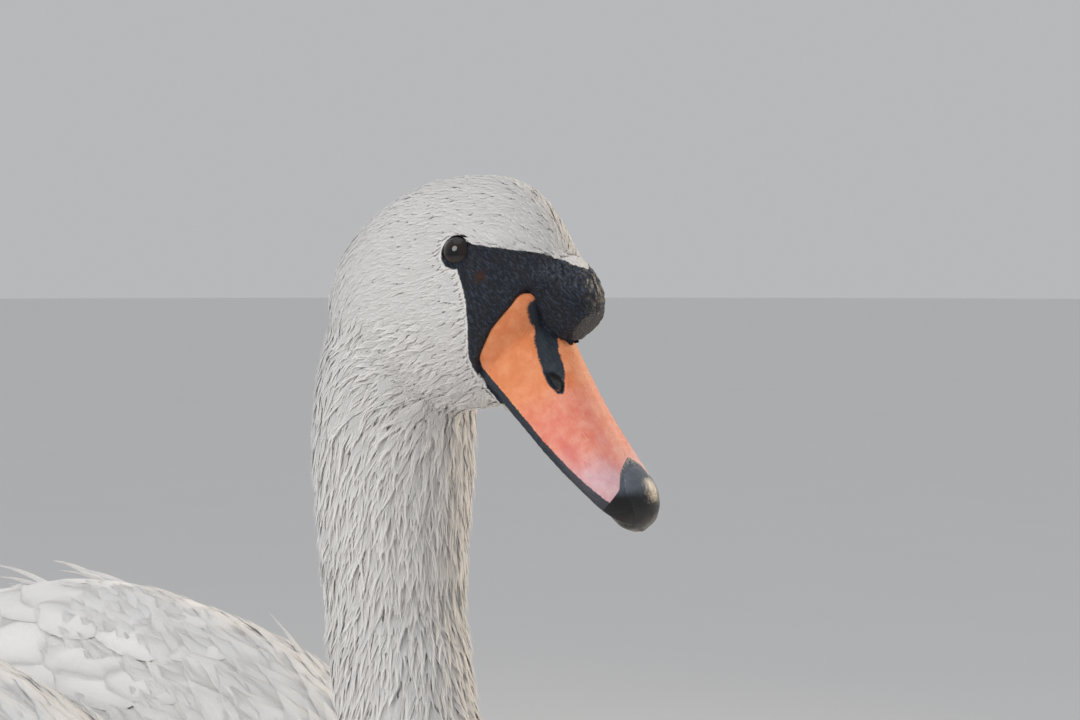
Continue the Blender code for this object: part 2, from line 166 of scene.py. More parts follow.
def smoothed(mesh):
    mesh.polygons.foreach_set("use_smooth", [True] * len(mesh.polygons))


def mesh_of(name, points, faces):
    mesh = bpy.data.meshes.new(name)
    mesh.from_pydata([tuple(p) for p in points], [], [tuple(f) for f in faces])
    smoothed(mesh)
    mesh.update()
    return mesh


def mesh_from(bm, name):
    """The mesh of a bmesh, which is let go."""
    mesh = bpy.data.meshes.new(name)
    bm.to_mesh(mesh)
    bm.free()
    return mesh


def faced_out(mesh, merged=False):
    """Turns a closed mesh's faces outwards, and merges its doubles first where it has any."""
    bm = bmesh.new()
    bm.from_mesh(mesh)
    if merged:
        bmesh.ops.remove_doubles(bm, verts=bm.verts, dist=1e-6)
    bmesh.ops.recalc_face_normals(bm, faces=bm.faces)
    bm.to_mesh(mesh)
    bm.free()
    return mesh


def values_of(items, field, width, kind):
    flat = np.empty(len(items) * width, kind)
    items.foreach_get(field, flat)
    return flat.reshape(-1, width)


def points_of(mesh):
    return values_of(mesh.vertices, "co", 3, np.float32).astype(float)


def normals_of(mesh):
    return values_of(mesh.vertices, "normal", 3, np.float32).astype(float)


def edges_of(mesh):
    return values_of(mesh.edges, "vertices", 2, np.int32)


def set_points(mesh, points):
    mesh.vertices.foreach_set("co", np.asarray(points, np.float32).ravel())
    mesh.update()
    return points


def put(mesh, name, kind, values):
    """Stores one value for each point under a name."""
    field = "value" if kind == "FLOAT" else "vector"
    attribute = mesh.attributes.get(name) or mesh.attributes.new(name, kind, "POINT")
    attribute.data.foreach_set(field, np.asarray(values, np.float32).ravel())


def neighbour_mean(flat, edges):
    """The mean of each point's neighbours, column by column."""
    (a, b), n = edges.T, len(flat)
    count = np.maximum(np.bincount(a, minlength=n) + np.bincount(b, minlength=n), 1)
    return np.stack([(np.bincount(a, c[b], n) + np.bincount(b, c[a], n)) / count for c in flat.T], 1)


def relaxed(values, edges, rounds):
    """Evens out values over a mesh: each point moves half-way towards the mean of its neighbours."""
    values = np.array(values, float)
    flat = values.reshape(len(values), -1)
    for _ in range(rounds):
        flat = flat + 0.5 * (neighbour_mean(flat, edges) - flat)
    return flat.reshape(values.shape)


def filled(points, edges, normals, amount, rounds):
    """Fills the creases of a mesh: points move outwards towards neighbours that lie further out."""
    for _ in range(rounds):
        step = ((neighbour_mean(points, edges) - points) * normals).sum(1)
        points = points + normals * (np.maximum(step, 0) * amount)[:, None]
    return points


def evaluated(made):
    return bpy.data.meshes.new_from_object(made.evaluated_get(bpy.context.evaluated_depsgraph_get()))


def copy_of(name):
    """A copy of one CAD node as a bmesh, with its doubles merged."""
    bm = bmesh.new()
    bm.from_mesh(nodes[name].data)
    bmesh.ops.remove_doubles(bm, verts=bm.verts, dist=1e-6)
    bm.normal_update()
    return bm


def remeshed(names, size, swell=0.0006):
    """CAD nodes grown together into one even mesh."""
    points, faces = [], []
    for name in names:
        bm = copy_of(name)
        bm.verts.index_update()
        start = len(points)
        points += [v.co + v.normal * swell for v in bm.verts]
        faces += [[start + v.index for v in f.verts] for f in bm.faces]
        bm.free()
    blank = object_of("blank", mesh_of("blank", points, faces))
    even = blank.modifiers.new("even", "REMESH")
    even.mode, even.voxel_size = "VOXEL", size
    mesh = evaluated(blank)
    bpy.data.objects.remove(blank)
    return mesh


def cut(mesh, height, keep_above):
    """A bmesh of what lies above or below a level."""
    bm = bmesh.new()
    bm.from_mesh(mesh)
    bmesh.ops.bisect_plane(bm, geom=[*bm.verts, *bm.edges, *bm.faces], plane_co=(0, 0, height),
                           plane_no=(0, 0, 1), clear_inner=keep_above, clear_outer=not keep_above)
    return bm


def tree_of(name):
    bm = copy_of(name)
    tree = BVHTree.FromBMesh(bm)
    bm.free()
    return tree


KNOB_TREE = tree_of("bill_knob")


# ---- where the coat changes: ranges in metres, ahead of the middle (X) or over the floor (Z) ----
BODY_LIE_Z, WING_CREST_Z = (0.50, 0.36), (0.36, 0.52)
BREAST_LIE_X, BREAST_LIE_Z, BREAST_FRONT_X = (0.20, 0.34), (0.30, 0.42), (0.26, 0.37)
NECK_LOCKS_Z, BREAST_TOP_Z = (0.38, 0.43), (0.56, 0.48)
BREAST_LOCKS_X, BREAST_LOCKS_Z = (0.22, 0.28), (0.33, 0.38)
FREE_START_X, FREE_END_X, FREE_Z = (-0.135, -0.155), (-0.275, -0.255), (0.350, 0.375)
RUMP_X, RUMP_START = (-0.16, -0.24), -0.1
BACK_ENDS = (0.12, -0.315)  # from the shoulders back to the rump
BACK_HALF, RUMP_TAPER = 0.058, 0.022  # half the width of the back's middle, and how much less it is behind
NECK_WISP = (0.148, 0.083)  # ahead and aside, beside the foot of the neck


# ---- one skin over all the flesh ----
FLESH = ["head", "bill_knob", "neck_upper", "neck_middle", "neck_lower", "trunk", "wing_left", "wing_right",
         "thigh_left", "thigh_right", "leg_left", "leg_right", "foot_left", "foot_right"]
NECK_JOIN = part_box("neck_upper")[0].z + 0.035
LEG_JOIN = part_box("leg_left")[1].z + 0.012
NECK_GAP, LEG_GAP, RIM_REACH = 0.003, 0.002, 0.008  # the gaps that the bridges close, and how far rims stray
BODY_GRAIN, HEAD_GRAIN, LEG_GRAIN = 0.0070, 0.00125, 0.0019
FINE_BELOW_JOIN = 0.02  # how far below the neck's join the skin is smoothed like the head
KNOB_RISE = 1.1  # millimetres given back to the knob after its smoothing
KNOB_NEAR = 0.0017  # how near to the knob's solid its skin lies
HEAD_SOLIDS = ["head", "bill_knob", "bill_upper", "bill_lower", "neck_upper", "neck_middle"]
COAT_DEPTH = {"head": 1.3, "neck_upper": 3.6, "neck_middle": 4.5, "neck_lower": 6.0, "trunk": 8.0,
              "wing": 8.0, "thigh": 5.0, "tail": 7.0}  # millimetres from the solids in to the skin
HORN = ORANGE[:8] + [(35.2, -23.6), (38.0, -28.4), (140, -28.4)] + ORANGE[16:]  # with its black lower edge


def whole_skin():
    """The body coarse, the head and the legs fine, joined round the neck and above the hocks."""
    body = remeshed([n for n in FLESH if not n.startswith("foot")] + ["tail"], BODY_GRAIN, 0.001)
    set_points(body, relaxed(points_of(body), edges_of(body), rounds=4))
    head = remeshed(HEAD_SOLIDS, HEAD_GRAIN)
    legs = remeshed([n for n in FLESH if n.startswith(("foot", "leg", "thigh"))], LEG_GRAIN, 0.0004)
    set_points(legs, relaxed(points_of(legs), edges_of(legs), rounds=3))
    below_neck = mesh_from(cut(body, NECK_JOIN - NECK_GAP, False), "trimmed")
    bm = cut(below_neck, LEG_JOIN + LEG_GAP, True)
    for mesh, level, above in ((head, NECK_JOIN, True), (legs, LEG_JOIN, False)):
        bm.from_mesh(mesh_from(cut(mesh, level, above), "part"))
    rims = [(e, e.verts[0].co) for e in bm.edges if e.is_boundary]
    for level, side in ((NECK_JOIN, 0), (LEG_JOIN, 1), (LEG_JOIN, -1)):
        near = [e for e, place in rims
                if abs(place.z - level) < RIM_REACH and (not side or place.y * side > 0)]
        bmesh.ops.bridge_loops(bm, edges=near)
    bmesh.ops.recalc_face_normals(bm, faces=bm.faces)
    return bm


def refine_face(bm):
    """Finer faces round the eyes and over the knob."""
    points = np.array([v.co for v in bm.verts], float)
    ahead, side, up = in_head(points).T
    wanted = (np.hypot(ahead - LIDS[0], up - LIDS[1]) < 9) & (abs(side) > 14) | on_knob(points)
    bm.verts.ensure_lookup_table()
    edges = [e for e in bm.edges if wanted[e.verts[0].index] and wanted[e.verts[1].index]]
    bmesh.ops.subdivide_edges(bm, edges=edges, cuts=1, use_grid_fill=True)


def part_at(points, reach=0.01):
    """The name of the flesh node that each point lies nearest to, among those whose boxes it is near."""
    names = FLESH + ["tail"]
    places = [(name, tree_of(name), *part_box(name)) for name in names]
    found = []
    for p in points:
        place = Vector(p)
        best, best_name = math.inf, names[0]
        for name, tree, low, high in places:
            if any(place[k] < low[k] - reach or place[k] > high[k] + reach for k in range(3)):
                continue
            gap = tree.find_nearest(place)[3]
            if gap is not None and gap < best:
                best, best_name = gap, name
        found.append(best_name)
    return np.array(found)


def face_relief(points, near):
    """How far the face stands out, in millimetres: the brow's ridge, the hollow before the eye, the knob's
    lumps, and the lip round the horn of the bill. Under the horn it sinks away."""
    x, _, z = in_bill(points).T
    knob = on_knob(points)
    hollow = bell(x, 17, 7) * bell(z, 5, 5.5)
    brow_ridge = bell(z - 0.9 * x, 3.6, 1.3) * ease(4, 9, x) * ease(24, 17, x)
    horn = np.where(knob, -9.0, outline_depth(HORN, x, z))
    lip = 0.45 * bell(horn, -0.9, 0.9) - 1.9 * ease(-0.1, 1.3, horn)
    lumps = [noise.noise(Vector(p) * 520) + 0.6 * noise.noise(Vector(p) * 1100) if k else 0.0
             for p, k in zip(points, knob)]
    lift = near * (0.45 * brow_ridge - 0.9 * hollow)
    lift += np.where((near | (x > 20)) & (points[:, 2] > NECK_JOIN), lip, 0)
    return lift + 0.42 * np.array(lumps)


def round_eyes(points, from_lids, by_eye, eye_room=0.013):
    """Lays the lids on the eyeballs, with a raised rim, and draws the skin in behind them."""
    lid = 0.25 + 0.40 * bell(from_lids, 5.5, 0.45) - 1.0 * ease(5.1, 4.7, from_lids)
    wanted = EYE_RADIUS + lid * MM
    for side in SIDES:
        away = points - middle("eye_" + side)
        reach = np.linalg.norm(away, axis=1)
        hold = ease(7.6, 5.7, from_lids) * (reach < eye_room) * by_eye
        points = points + (away / reach[:, None]) * ((wanted - reach) * hold)[:, None]
    return points


def under_horn(points, x, y, z, start=48):
    """Draws the skin back and in where the horn of the bill covers it."""
    covered = (x > start) & (x < 130) & (z > -40) & (z < 20) & (abs(y) < 30)
    tucked = 0.45 * ease(start, start + 10, x) * covered
    local = in_bill(points)
    local[:, 0] = start + (local[:, 0] - start) * 0.12
    local[:, 1] *= 1 - tucked
    local[:, 2] += (-14 - local[:, 2]) * tucked
    return np.where(covered[:, None], out_of_bill(local), points)


def shape_face(points, normals, parts):
    """The face's relief, the lids, and what the horn of the bill covers."""
    ahead, side, up = in_head(points).T
    in_place = in_bill(points).T
    near = (in_place[0] > -20) & parts_in(parts, "head", "bill_knob")
    from_lids = np.hypot(ahead - LIDS[0], up - LIDS[1])
    points = points + normals * face_relief(points, near)[:, None] * MM
    return under_horn(round_eyes(points, from_lids, near & (abs(side) > ON_CHEEK)), *in_place)


def on_knob(points):
    """Which points lie on the knob over the bill, and not under the horn."""
    x, y, z = in_bill(points).T
    found = np.zeros(len(points), bool)
    for k in np.flatnonzero((x > 23) & (x < 62) & (z > -3) & (abs(y) < 18)):
        found[k] = KNOB_TREE.find_nearest(Vector(points[k]))[3] < KNOB_NEAR
    return found


def crease_room(points):
    """Where creases between the solids are filled: behind the knob and round the top of the neck."""
    x, _, z = in_bill(points).T
    by_knob = ease(14, 20, x) * ease(46, 40, x) * ease(4, 8, z) * (outline_depth(HORN, x, z) < 0.5)
    nape = bell(points[:, 2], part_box("neck_upper")[1].z - 0.014, 0.016) * (x < 12)
    return np.maximum(by_knob, nape)


def parts_in(parts, *starts):
    return np.isin(parts, [n for n in FLESH + ["tail"] if n.startswith(starts)])


def lie_of(points, normals, parts):
    """The way the coat lies: back over the head, down the neck, and backwards along the body."""
    ahead, _, up = in_head(points).T[..., None]
    x, _, z = points.T[..., None]
    bare = bare_depth(points)[:, None]
    over_head = ease(-95, -25, up) * ease(-62, -25, ahead)
    beside_brow = ease(-9, -2, bare) * ease(-1, 2, up) * ease(-6, 2, ahead)
    head_way = -AHEAD - UP * (0.35 - 0.80 * beside_brow)
    neck_way = np.array([-0.10, 0, -1.0])
    low = ease(*BODY_LIE_Z, z)
    breast = 0.6 * ease(*BREAST_LIE_X, x) * ease(*BREAST_LIE_Z, z) + 0.7 * ease(*BREAST_FRONT_X, x)
    body_way = np.array([-1.0, 0, -0.12]) + breast * np.array([0.3, 0, -1.6])
    way = (head_way * over_head + neck_way * (1 - over_head)) * (1 - low) + body_way * low
    wing_way = np.array([-1.0, 0, 0]) + (0.10 + 0.42 * ease(*WING_CREST_Z, z)) * UP
    way = np.where(parts_in(parts, "wing")[:, None], wing_way, way)
    way = np.where(parts_in(parts, "thigh")[:, None], np.array([-0.35, 0, -1.0]), way)
    return unit(way - normals * (way * normals).sum(1, keepdims=True))


def unwrap(made, name):
    """Lays the skin's own shape out flat, in islands that don't overlap."""
    made.data.uv_layers.new(name=name)
    bpy.context.view_layer.objects.active = made
    made.select_set(True)
    bpy.ops.object.mode_set(mode="EDIT")
    bpy.ops.mesh.select_all(action="SELECT")
    bpy.ops.uv.smart_project(angle_limit=math.radians(72), island_margin=0.002)
    bpy.ops.object.mode_set(mode="OBJECT")
    made.select_set(False)


def smooth_skin(mesh, edges):
    """Softens the joins between the solids, fills the creases and rounds the knob."""
    points = points_of(mesh)
    high = (points[:, 2] > NECK_JOIN - FINE_BELOW_JOIN)[:, None]
    points = set_points(mesh, np.where(high, relaxed(points, edges, rounds=9), points))
    points = filled(points, edges, normals_of(mesh), 0.8 * crease_room(points), rounds=90)
    points = np.where(high, relaxed(points, edges, rounds=3), points)
    knob = relaxed(on_knob(points).astype(float), edges, rounds=6)[:, None]
    points = set_points(mesh, points + (relaxed(points, edges, rounds=70) - points) * knob)
    return set_points(mesh, points + normals_of(mesh) * KNOB_RISE * MM * knob), high[:, 0]


def coat_depth(points, edges, parts, high):
    """How far in from the outside of the plumage the skin lies, in millimetres."""
    bare = bare_depth(points)
    depth = np.zeros(len(points))
    for start, coat in COAT_DEPTH.items():
        depth = np.where(parts_in(parts, start), coat, depth)
    depth = np.where(parts_in(parts, "head"), depth * ease(0.4, -2.2, bare), depth)
    down_thigh = ease(0.0, 0.35, share("thigh_left", 2, points[:, 2]))
    depth = np.where(parts_in(parts, "thigh"), depth * down_thigh, depth)
    depth = np.where(parts_in(parts, "bill_knob", "leg", "foot"), 0, depth)
    behind = ease(-14, -28, in_head(points)[:, 0]) * high
    depth = relaxed(depth, edges, rounds=5) * (1 - behind) + relaxed(depth, edges, rounds=160) * behind
    return np.where((bare > 0) & (points[:, 2] > NECK_JOIN), 0, depth)


def make_skin():
    """The skin as an object, with its points, the way each faces and the part that each belongs to."""
    bm = whole_skin()
    bm.verts.index_update()
    refine_face(bm)
    bmesh.ops.triangulate(bm, faces=[f for f in bm.faces if len(f.verts) > 4])
    mesh = mesh_from(bm, "skin")
    smoothed(mesh)
    edges = edges_of(mesh)
    points, high = smooth_skin(mesh, edges)
    parts = part_at(points)
    depth = coat_depth(points, edges, parts, high)[:, None] * MM
    points = set_points(mesh, points - normals_of(mesh) * depth)
    points = set_points(mesh, shape_face(points, normals_of(mesh), parts))
    made = object_of("skin", mesh)
    unwrap(made, "unwrap")
    normals = normals_of(mesh)
    put(mesh, "bare", "FLOAT", np.where(parts_in(parts, "head", "bill_knob"), bare_depth(points), -40))
    put(mesh, "facing", "FLOAT_VECTOR", normals)
    put(mesh, "lie", "FLOAT_VECTOR", relaxed(lie_of(points, normals, parts), edges, rounds=6))
    return made, points, normals, parts


skin, skin_points, skin_normals, skin_parts = make_skin()


# ---- horn: the bill, its nail, the eyes and the claws ----
BILL_ABOVE, BILL_ASIDE = 80, 60  # millimetres from its middle line, past the bill's surface
OFF_RIDGE = 0.03  # millimetres beside the middle, so that a line misses the edge between two faces


def evened(grid, rounds):
    """A grid of distances with its facets smoothed out; the columns go round."""
    for _ in range(rounds):
        grid[1:-1] += 0.25 * (grid[:-2] - 2 * grid[1:-1] + grid[2:])
    for _ in range(rounds):
        grid += 0.25 * (np.roll(grid, 1, 1) - 2 * grid + np.roll(grid, -1, 1))
    return grid


def closed_rows(rows):
    """Points and faces of a closed form from rings of points, with a point at each end."""
    count, sides = rows.shape[:2]
    points = np.concatenate([rows.reshape(-1, 3), rows[:1].mean(1), rows[-1:].mean(1)])
    first, last = count * sides, count * sides + 1
    faces = []
    for i in range(count - 1):
        for k in range(sides):
            n = (k + 1) % sides
            faces.append((i * sides + k, i * sides + n, (i + 1) * sides + n, (i + 1) * sides + k))
    for k in range(sides):
        n = (k + 1) % sides
        faces.append((first, n, k))
        faces.append((last, (count - 1) * sides + k, (count - 1) * sides + n))
    return points, faces


def beside_bill(names):
    """CAD nodes in bill millimetres: their points, and a tree of their faces."""
    local, faces = [], []
    for name in names:
        bm = copy_of(name)
        faces += [[len(local) + v.index for v in f.verts] for f in bm.faces]
        local += list(in_bill([v.co for v in bm.verts]))
        bm.free()
    return np.array(local), BVHTree.FromPolygons([Vector(p) for p in local], faces)


def middle_line(tree, places):
    """Half-way between the top and the underside at each place along the bill."""
    centres = np.full(len(places), np.nan)
    for i, x in enumerate(places):
        top = tree.ray_cast(Vector((x, OFF_RIDGE, BILL_ABOVE)), Vector((0, 0, -1)))[0]
        base = tree.ray_cast(Vector((x, OFF_RIDGE, -BILL_ABOVE)), Vector((0, 0, 1)))[0]
        if top and base:
            centres[i] = (top.z + base.z) / 2
    known = ~np.isnan(centres)
    return np.interp(places, places[known], centres[known])


def measured(names, start, stop, count, sides, rounds, flared_into=None):
    """Rings along the bill, in bill millimetres, that follow CAD nodes from start to stop as shares of their
    length. Inside the orange they may flare out to the face of another node."""
    local, tree = beside_bill(names)
    low, high = local[:, 0].min(), local[:, 0].max()
    angles = np.arange(sides) * 2 * np.pi / sides
    t = np.linspace(0, 1, count)
    closer_at_ends = 0.65 * t + 0.35 * (0.5 - 0.5 * np.cos(np.pi * t))
    places = low + (high - low) * (start + (stop - start) * closer_at_ends)
    centres = middle_line(tree, places)
    reach = np.zeros((count, sides))
    cheek = beside_bill([flared_into])[1] if flared_into else None
    for i, x in enumerate(places):
        for k, a in enumerate(angles):
            way = Vector((0, math.cos(a), math.sin(a)))
            outside = Vector((x, 0, centres[i])) + way * BILL_ASIDE
            hit = tree.ray_cast(outside, -way)[0]
            reach[i, k] = 0 if hit is None else math.hypot(hit.y, hit.z - centres[i])
            hit = cheek.ray_cast(outside, -way)[0] if cheek else None
            if hit is not None and outline_depth(ORANGE, np.array([x]), np.array([hit.z]))[0] > -1.2:
                reach[i, k] = max(reach[i, k], math.hypot(hit.y, hit.z - centres[i]))
    reach = evened(reach, rounds)
    rows = np.zeros((count, sides, 3))
    rows[..., 0] = places[:, None]
    rows[..., 1] = reach * np.cos(angles)
    rows[..., 2] = centres[:, None] + reach * np.sin(angles)
    return rows


def horn_piece(name, rows, shape):
    """A closed piece from rings, raised by its shape in millimetres, with its place beside the bill kept."""
    points, faces = closed_rows(rows)
    mesh = faced_out(mesh_of(name, out_of_bill(points), faces), merged=True)
    points = points_of(mesh)
    set_points(mesh, points + normals_of(mesh) * shape(*in_bill(points).T)[:, None] * MM)
    local = in_bill(points_of(mesh))
    put(mesh, "beside_bill", "FLOAT_VECTOR", local)
    for field, outline in (("orange", ORANGE), ("band", NOSTRIL_BAND), ("nostril", NOSTRIL)):
        put(mesh, field, "FLOAT", outline_depth(outline, local[:, 0], local[:, 2]))
    put(mesh, "nail", "FLOAT", np.interp(local[:, 0], *zip(*NAIL), left=-3) - abs(local[:, 1]))
    return object_of(name, mesh)


def upper_bill_shape(x, _, z):
    """The open nostrils, the hollow of their band, and the rolled edge of the bill."""
    nostril = outline_depth(NOSTRIL, x, z)
    band = outline_depth(NOSTRIL_BAND, x, z)
    rim = bell(nostril, -0.5, 0.5) * (nostril < 0.3)
    edge = bell(z, -24.8, 0.9) * ease(36, 42, x)
    ribs = 0.05 * np.sin(x * 1.9 + 2.2 * np.sin(z * 0.8)) * ease(98, 80, x) * ease(36, 50, x)
    return -1.7 * ease(-0.2, 1.0, nostril) + 0.25 * rim - 0.35 * ease(-0.8, 1.4, band) + 0.22 * edge + ribs


beak_rings = measured(["bill_upper", "bill_nail"], 0.03, 0.972, count=150, sides=144, rounds=5,
                      flared_into="head")
bill_upper = horn_piece("bill_horn", beak_rings, upper_bill_shape)
jaw_rings = measured(["bill_lower"], 0.16, 0.985, count=60, sides=64, rounds=3)
jaw_rings[..., 1] *= 0.6 + 0.4 * ease(45, 52, jaw_rings[..., 0])
bill_lower = horn_piece("bill_jaw", jaw_rings, lambda x, y, z: -1.5 * ease(-25.5, -28.5, z))
nail_rings = measured(["bill_nail"], 0.02, 0.97, count=40, sides=64, rounds=4)
bill_nail = horn_piece("bill_tip_nail", nail_rings, lambda x, y, z: 0.25 + 0 * x)


def circle(count, first, second):
    """Points round a circle of radius 1 between two directions."""
    turn = np.arange(count)[:, None] * 2 * np.pi / count
    return np.cos(turn) * first + np.sin(turn) * second


def eyeball(side):
    """A finer ball where the CAD has the eye, with the distance from its axis kept for the iris."""
    centre = middle("eye_" + side)
    out = unit(LEFT * SIDES[side] + 0.22 * AHEAD + 0.05 * UP)
    across = unit(np.cross(out, UP))
    ring = circle(44, across, np.cross(out, across))
    rows = [centre + EYE_RADIUS * (np.cos(a) * out + np.sin(a) * ring)
            for a in np.linspace(0.03, np.pi - 0.03, 30)]
    mesh = faced_out(mesh_of("eyeball_" + side, *closed_rows(np.array(rows))))
    offset = points_of(mesh) - centre
    along = offset @ out
    from_axis = np.linalg.norm(offset - along[:, None] * out, axis=1)
    put(mesh, "from_axis", "FLOAT", np.where(along > 0, from_axis, 0.01))
    return object_of("eyeball_" + side, mesh)


eyes = {side: eyeball(side) for side in SIDES}


TOE_ROOT, TOE_HALF = 0.0286, 0.012  # where the toes meet, ahead of the foot's back end; half a toe's room


def claws():
    """A short curved claw on the tip of each toe."""
    points, faces = [], []
    for side, sign in SIDES.items():
        foot = points_of(nodes["foot_" + side].data)
        root = np.array([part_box("foot_" + side)[0].x + TOE_ROOT, middle("leg_" + side)[1], 0])
        for degrees, size in ((-31, 0.0036), (-2, 0.0036), (25, 0.0036), (160, 0.0024)):
            yaw = math.radians(degrees) * sign
            way = np.array([math.cos(yaw), math.sin(yaw), 0])
            across = np.array([-way[1], way[0], 0])
            on_toe = abs((foot - root) @ across) < TOE_HALF
            tip = ((foot - root) @ way)[on_toe].max()
            rows = []
            for t in np.linspace(0, 1, 9):
                radius = size * (1 - t) ** 0.7 * (1 if t > 0.05 else 0.8) + 0.0002
                centre = root + way * (tip - size * 3.4 + size * 3.3 * t) + UP * (0.0048 - 0.0036 * t * t)
                ring = centre + radius * circle(12, across * 0.85, UP)
                ring[:, 2] = np.maximum(ring[:, 2], 0.0003)
                rows.append(ring)
            more, more_faces = closed_rows(np.array(rows))
            faces += [[i + len(points) for i in f] for f in more_faces]
            points += list(more)
    return object_of("claws", faced_out(mesh_of("claws", points, faces), merged=True))


toe_claws = claws()


# ---- values and nodes ----
class Value:
    """One socket of a node tree. Sums and products of these add Math nodes."""

    def __init__(self, board, node, output):
        self.board, self.node, self.socket = board, node, output

    def __getitem__(self, output):
        return Value(self.board, self.node, self.node.outputs[output])

    def math(self, operation, *values):
        return self.board.add("ShaderNodeMath", {"operation": operation}, dict(enumerate(values)))

    def __abs__(self):
        return self.math("ABSOLUTE", self)

    def sine(self):
        return self.math("SINE", self)

    def rise(self, low, high):
        """0 up to low, 1 from high on, and a smooth slope between."""
        return self.board.add("ShaderNodeMapRange", {"interpolation_type": "SMOOTHSTEP"},
                              {"Value": self, "From Min": low, "From Max": high})

    def parts(self):
        split = self.board.add("ShaderNodeSeparateXYZ", {}, {0: self})
        return split["X"], split["Y"], split["Z"]


for sign, operation in (("add", "ADD"), ("sub", "SUBTRACT"), ("mul", "MULTIPLY"), ("truediv", "DIVIDE"),
                        ("pow", "POWER")):
    setattr(Value, f"__{sign}__", lambda a, b, operation=operation: a.math(operation, a, b))
    setattr(Value, f"__r{sign}__", lambda a, b, operation=operation: a.math(operation, b, a))


class Board:
    """A node tree being filled in."""

    def __init__(self, tree):
        self.tree = tree

    def add(self, kind, settings, values, output=0):
        node = self.tree.nodes.new(kind)
        for key, setting in settings.items():
            setattr(node, key, setting)
        for key, value in values.items():
            self.feed(node.inputs[key], value)
        return Value(self, node, node.outputs[output])

    def feed(self, socket, value):
        """Links a value to a socket, or sets the socket to a constant."""
        if isinstance(value, Value):
            self.tree.links.new(value.socket, socket)
        else:
            socket.default_value = value

    def blend(self, kind, suffix, amount, first, second):
        """One colour or place turning into another."""
        node = self.add("ShaderNodeMix", {"data_type": kind}, {"Factor": amount}).node
        sockets = {s.identifier: s for s in (*node.inputs, *node.outputs)}
        self.feed(sockets["A_" + suffix], first)
        self.feed(sockets["B_" + suffix], second)
        return Value(self, node, sockets["Result_" + suffix])

    def mixed(self, amount, first, second):
        first, second = (c if isinstance(c, Value) else (*c, 1) for c in (first, second))
        return self.blend("RGBA", "Color", amount, first, second)

    def kept(self, name, output="Fac"):
        return self.add("ShaderNodeAttribute", {"attribute_name": name}, {}, output)

    def cloud(self, place, scale, detail=2.0, rough=0.5):
        values = {"Vector": place, "Scale": scale, "Detail": detail, "Roughness": rough}
        return self.add("ShaderNodeTexNoise", {}, values)

    def cells(self, place, scale, feature="F1"):
        return self.add("ShaderNodeTexVoronoi", {"feature": feature}, {"Vector": place, "Scale": scale})

    def stretched(self, place, scale, turn=0.0):
        return self.add("ShaderNodeMapping", {}, {"Vector": place, "Scale": scale, "Rotation": (0, turn, 0)})

    def streaks(self, stretch, turn, scale, detail, rough=0.5):
        """Noise drawn out along the bill, its places in millimetres."""
        place = self.stretched(self.kept("beside_bill", "Vector"), stretch, turn)
        return self.cloud(place, scale, detail, rough)


class Finish(Board):
    """A material made of one shader, its constants set on the shader itself."""

    def __init__(self, name, **constants):
        self.material = bpy.data.materials.new(name)
        self.material.use_nodes = True
        super().__init__(self.material.node_tree)
        self.shader = self.tree.nodes["Principled BSDF"]
        for key, value in constants.items():
            self.shader.inputs[key.replace("_", " ")].default_value = value
        self.place = self.add("ShaderNodeTexCoord", {}, {}, "Object")

    def lay(self, colour, roughness, height, distance):
        """Feeds the colour, the roughness and the relief, whose height is in metres at 1."""
        relief = self.add("ShaderNodeBump", {}, {"Strength": 1.0, "Distance": distance, "Height": height})
        for key, value in (("Base Color", colour), ("Roughness", roughness), ("Normal", relief)):
            self.feed(self.shader.inputs[key], value)
        return self.material


# ---- finishes ----
# two whites: random tones swing between them in the down, the face and the feathers; in the feathers the
# dimmer one is also painted shade at each covered root
WHITE_PALE_TONE, WHITE_DIM_TONE_AND_SHADE = (0.86, 0.845, 0.825), (0.74, 0.715, 0.70)
BLUE_BLACK, WARM_BLACK, RUST = (0.012, 0.018, 0.031), (0.020, 0.021, 0.026), (0.085, 0.026, 0.012)
PAINTED_BLUE_HIGHLIGHT = (0.066, 0.084, 0.128)


def plumage_finish(name, barbs, slant, depth):
    """Feather vanes: barbs that slant from the shaft, a pale shaft, each feather its own shade, and painted
    shade that darkens each vane towards its covered root.
    """
    f = Finish(name, Specular_IOR_Level=0.25, Sheen_Weight=0.15, Sheen_Roughness=0.5,
               Subsurface_Weight=0.35, Subsurface_Scale=0.006, Subsurface_Radius=(1.0, 0.9, 0.8))
    along, across, _ = f.kept("spot", "Vector").parts()
    shade = f.kept("shade")
    wide = abs(across)
    barb = ((along * barbs - wide * slant) * (2 * math.pi) + shade * 9.0).sine() * 0.5 + 0.5
    clump = f.cloud(f.place, 190.0, 3.0)
    shaft = 1 - wide.rise(0.02, 0.16)
    beside_shaft = {"X": along * barbs * 0.22 - wide * slant * 0.22, "Y": shade * 40.0}
    split = f.cloud(f.add("ShaderNodeCombineXYZ", {}, beside_shaft), 2.0, 1.0)
    # painted shade darkens each vane towards its root, where the next feathers cover it; random tone per
    # feather and in soft patches varies it, and it is a little darker towards the edges
    tone_and_root_shade = (0.35 + along * 0.30 + shade * 0.25 + clump * 0.25 - wide * 0.10).rise(0.15, 0.95)
    colour = f.mixed(tone_and_root_shade, WHITE_DIM_TONE_AND_SHADE, WHITE_PALE_TONE)
    height = barb * 0.35 + shaft * 0.45 + clump * 0.6 + split * 0.6
    return f.lay(colour, 0.62 + 0.2 * clump, height, depth)


def down_finish():
    """The short down on the skin under the coat, in soft mottled tones."""
    f = Finish("down", Specular_IOR_Level=0.2, Sheen_Weight=0.2, Sheen_Roughness=0.5)
    fine = f.cloud(f.place, 900.0, 3.0)
    soft = f.cloud(f.place, 120.0, 2.0)
    return f.lay(f.mixed(soft, WHITE_DIM_TONE_AND_SHADE, WHITE_PALE_TONE), 0.75 + 0.15 * soft, fine + soft, 0.0004)


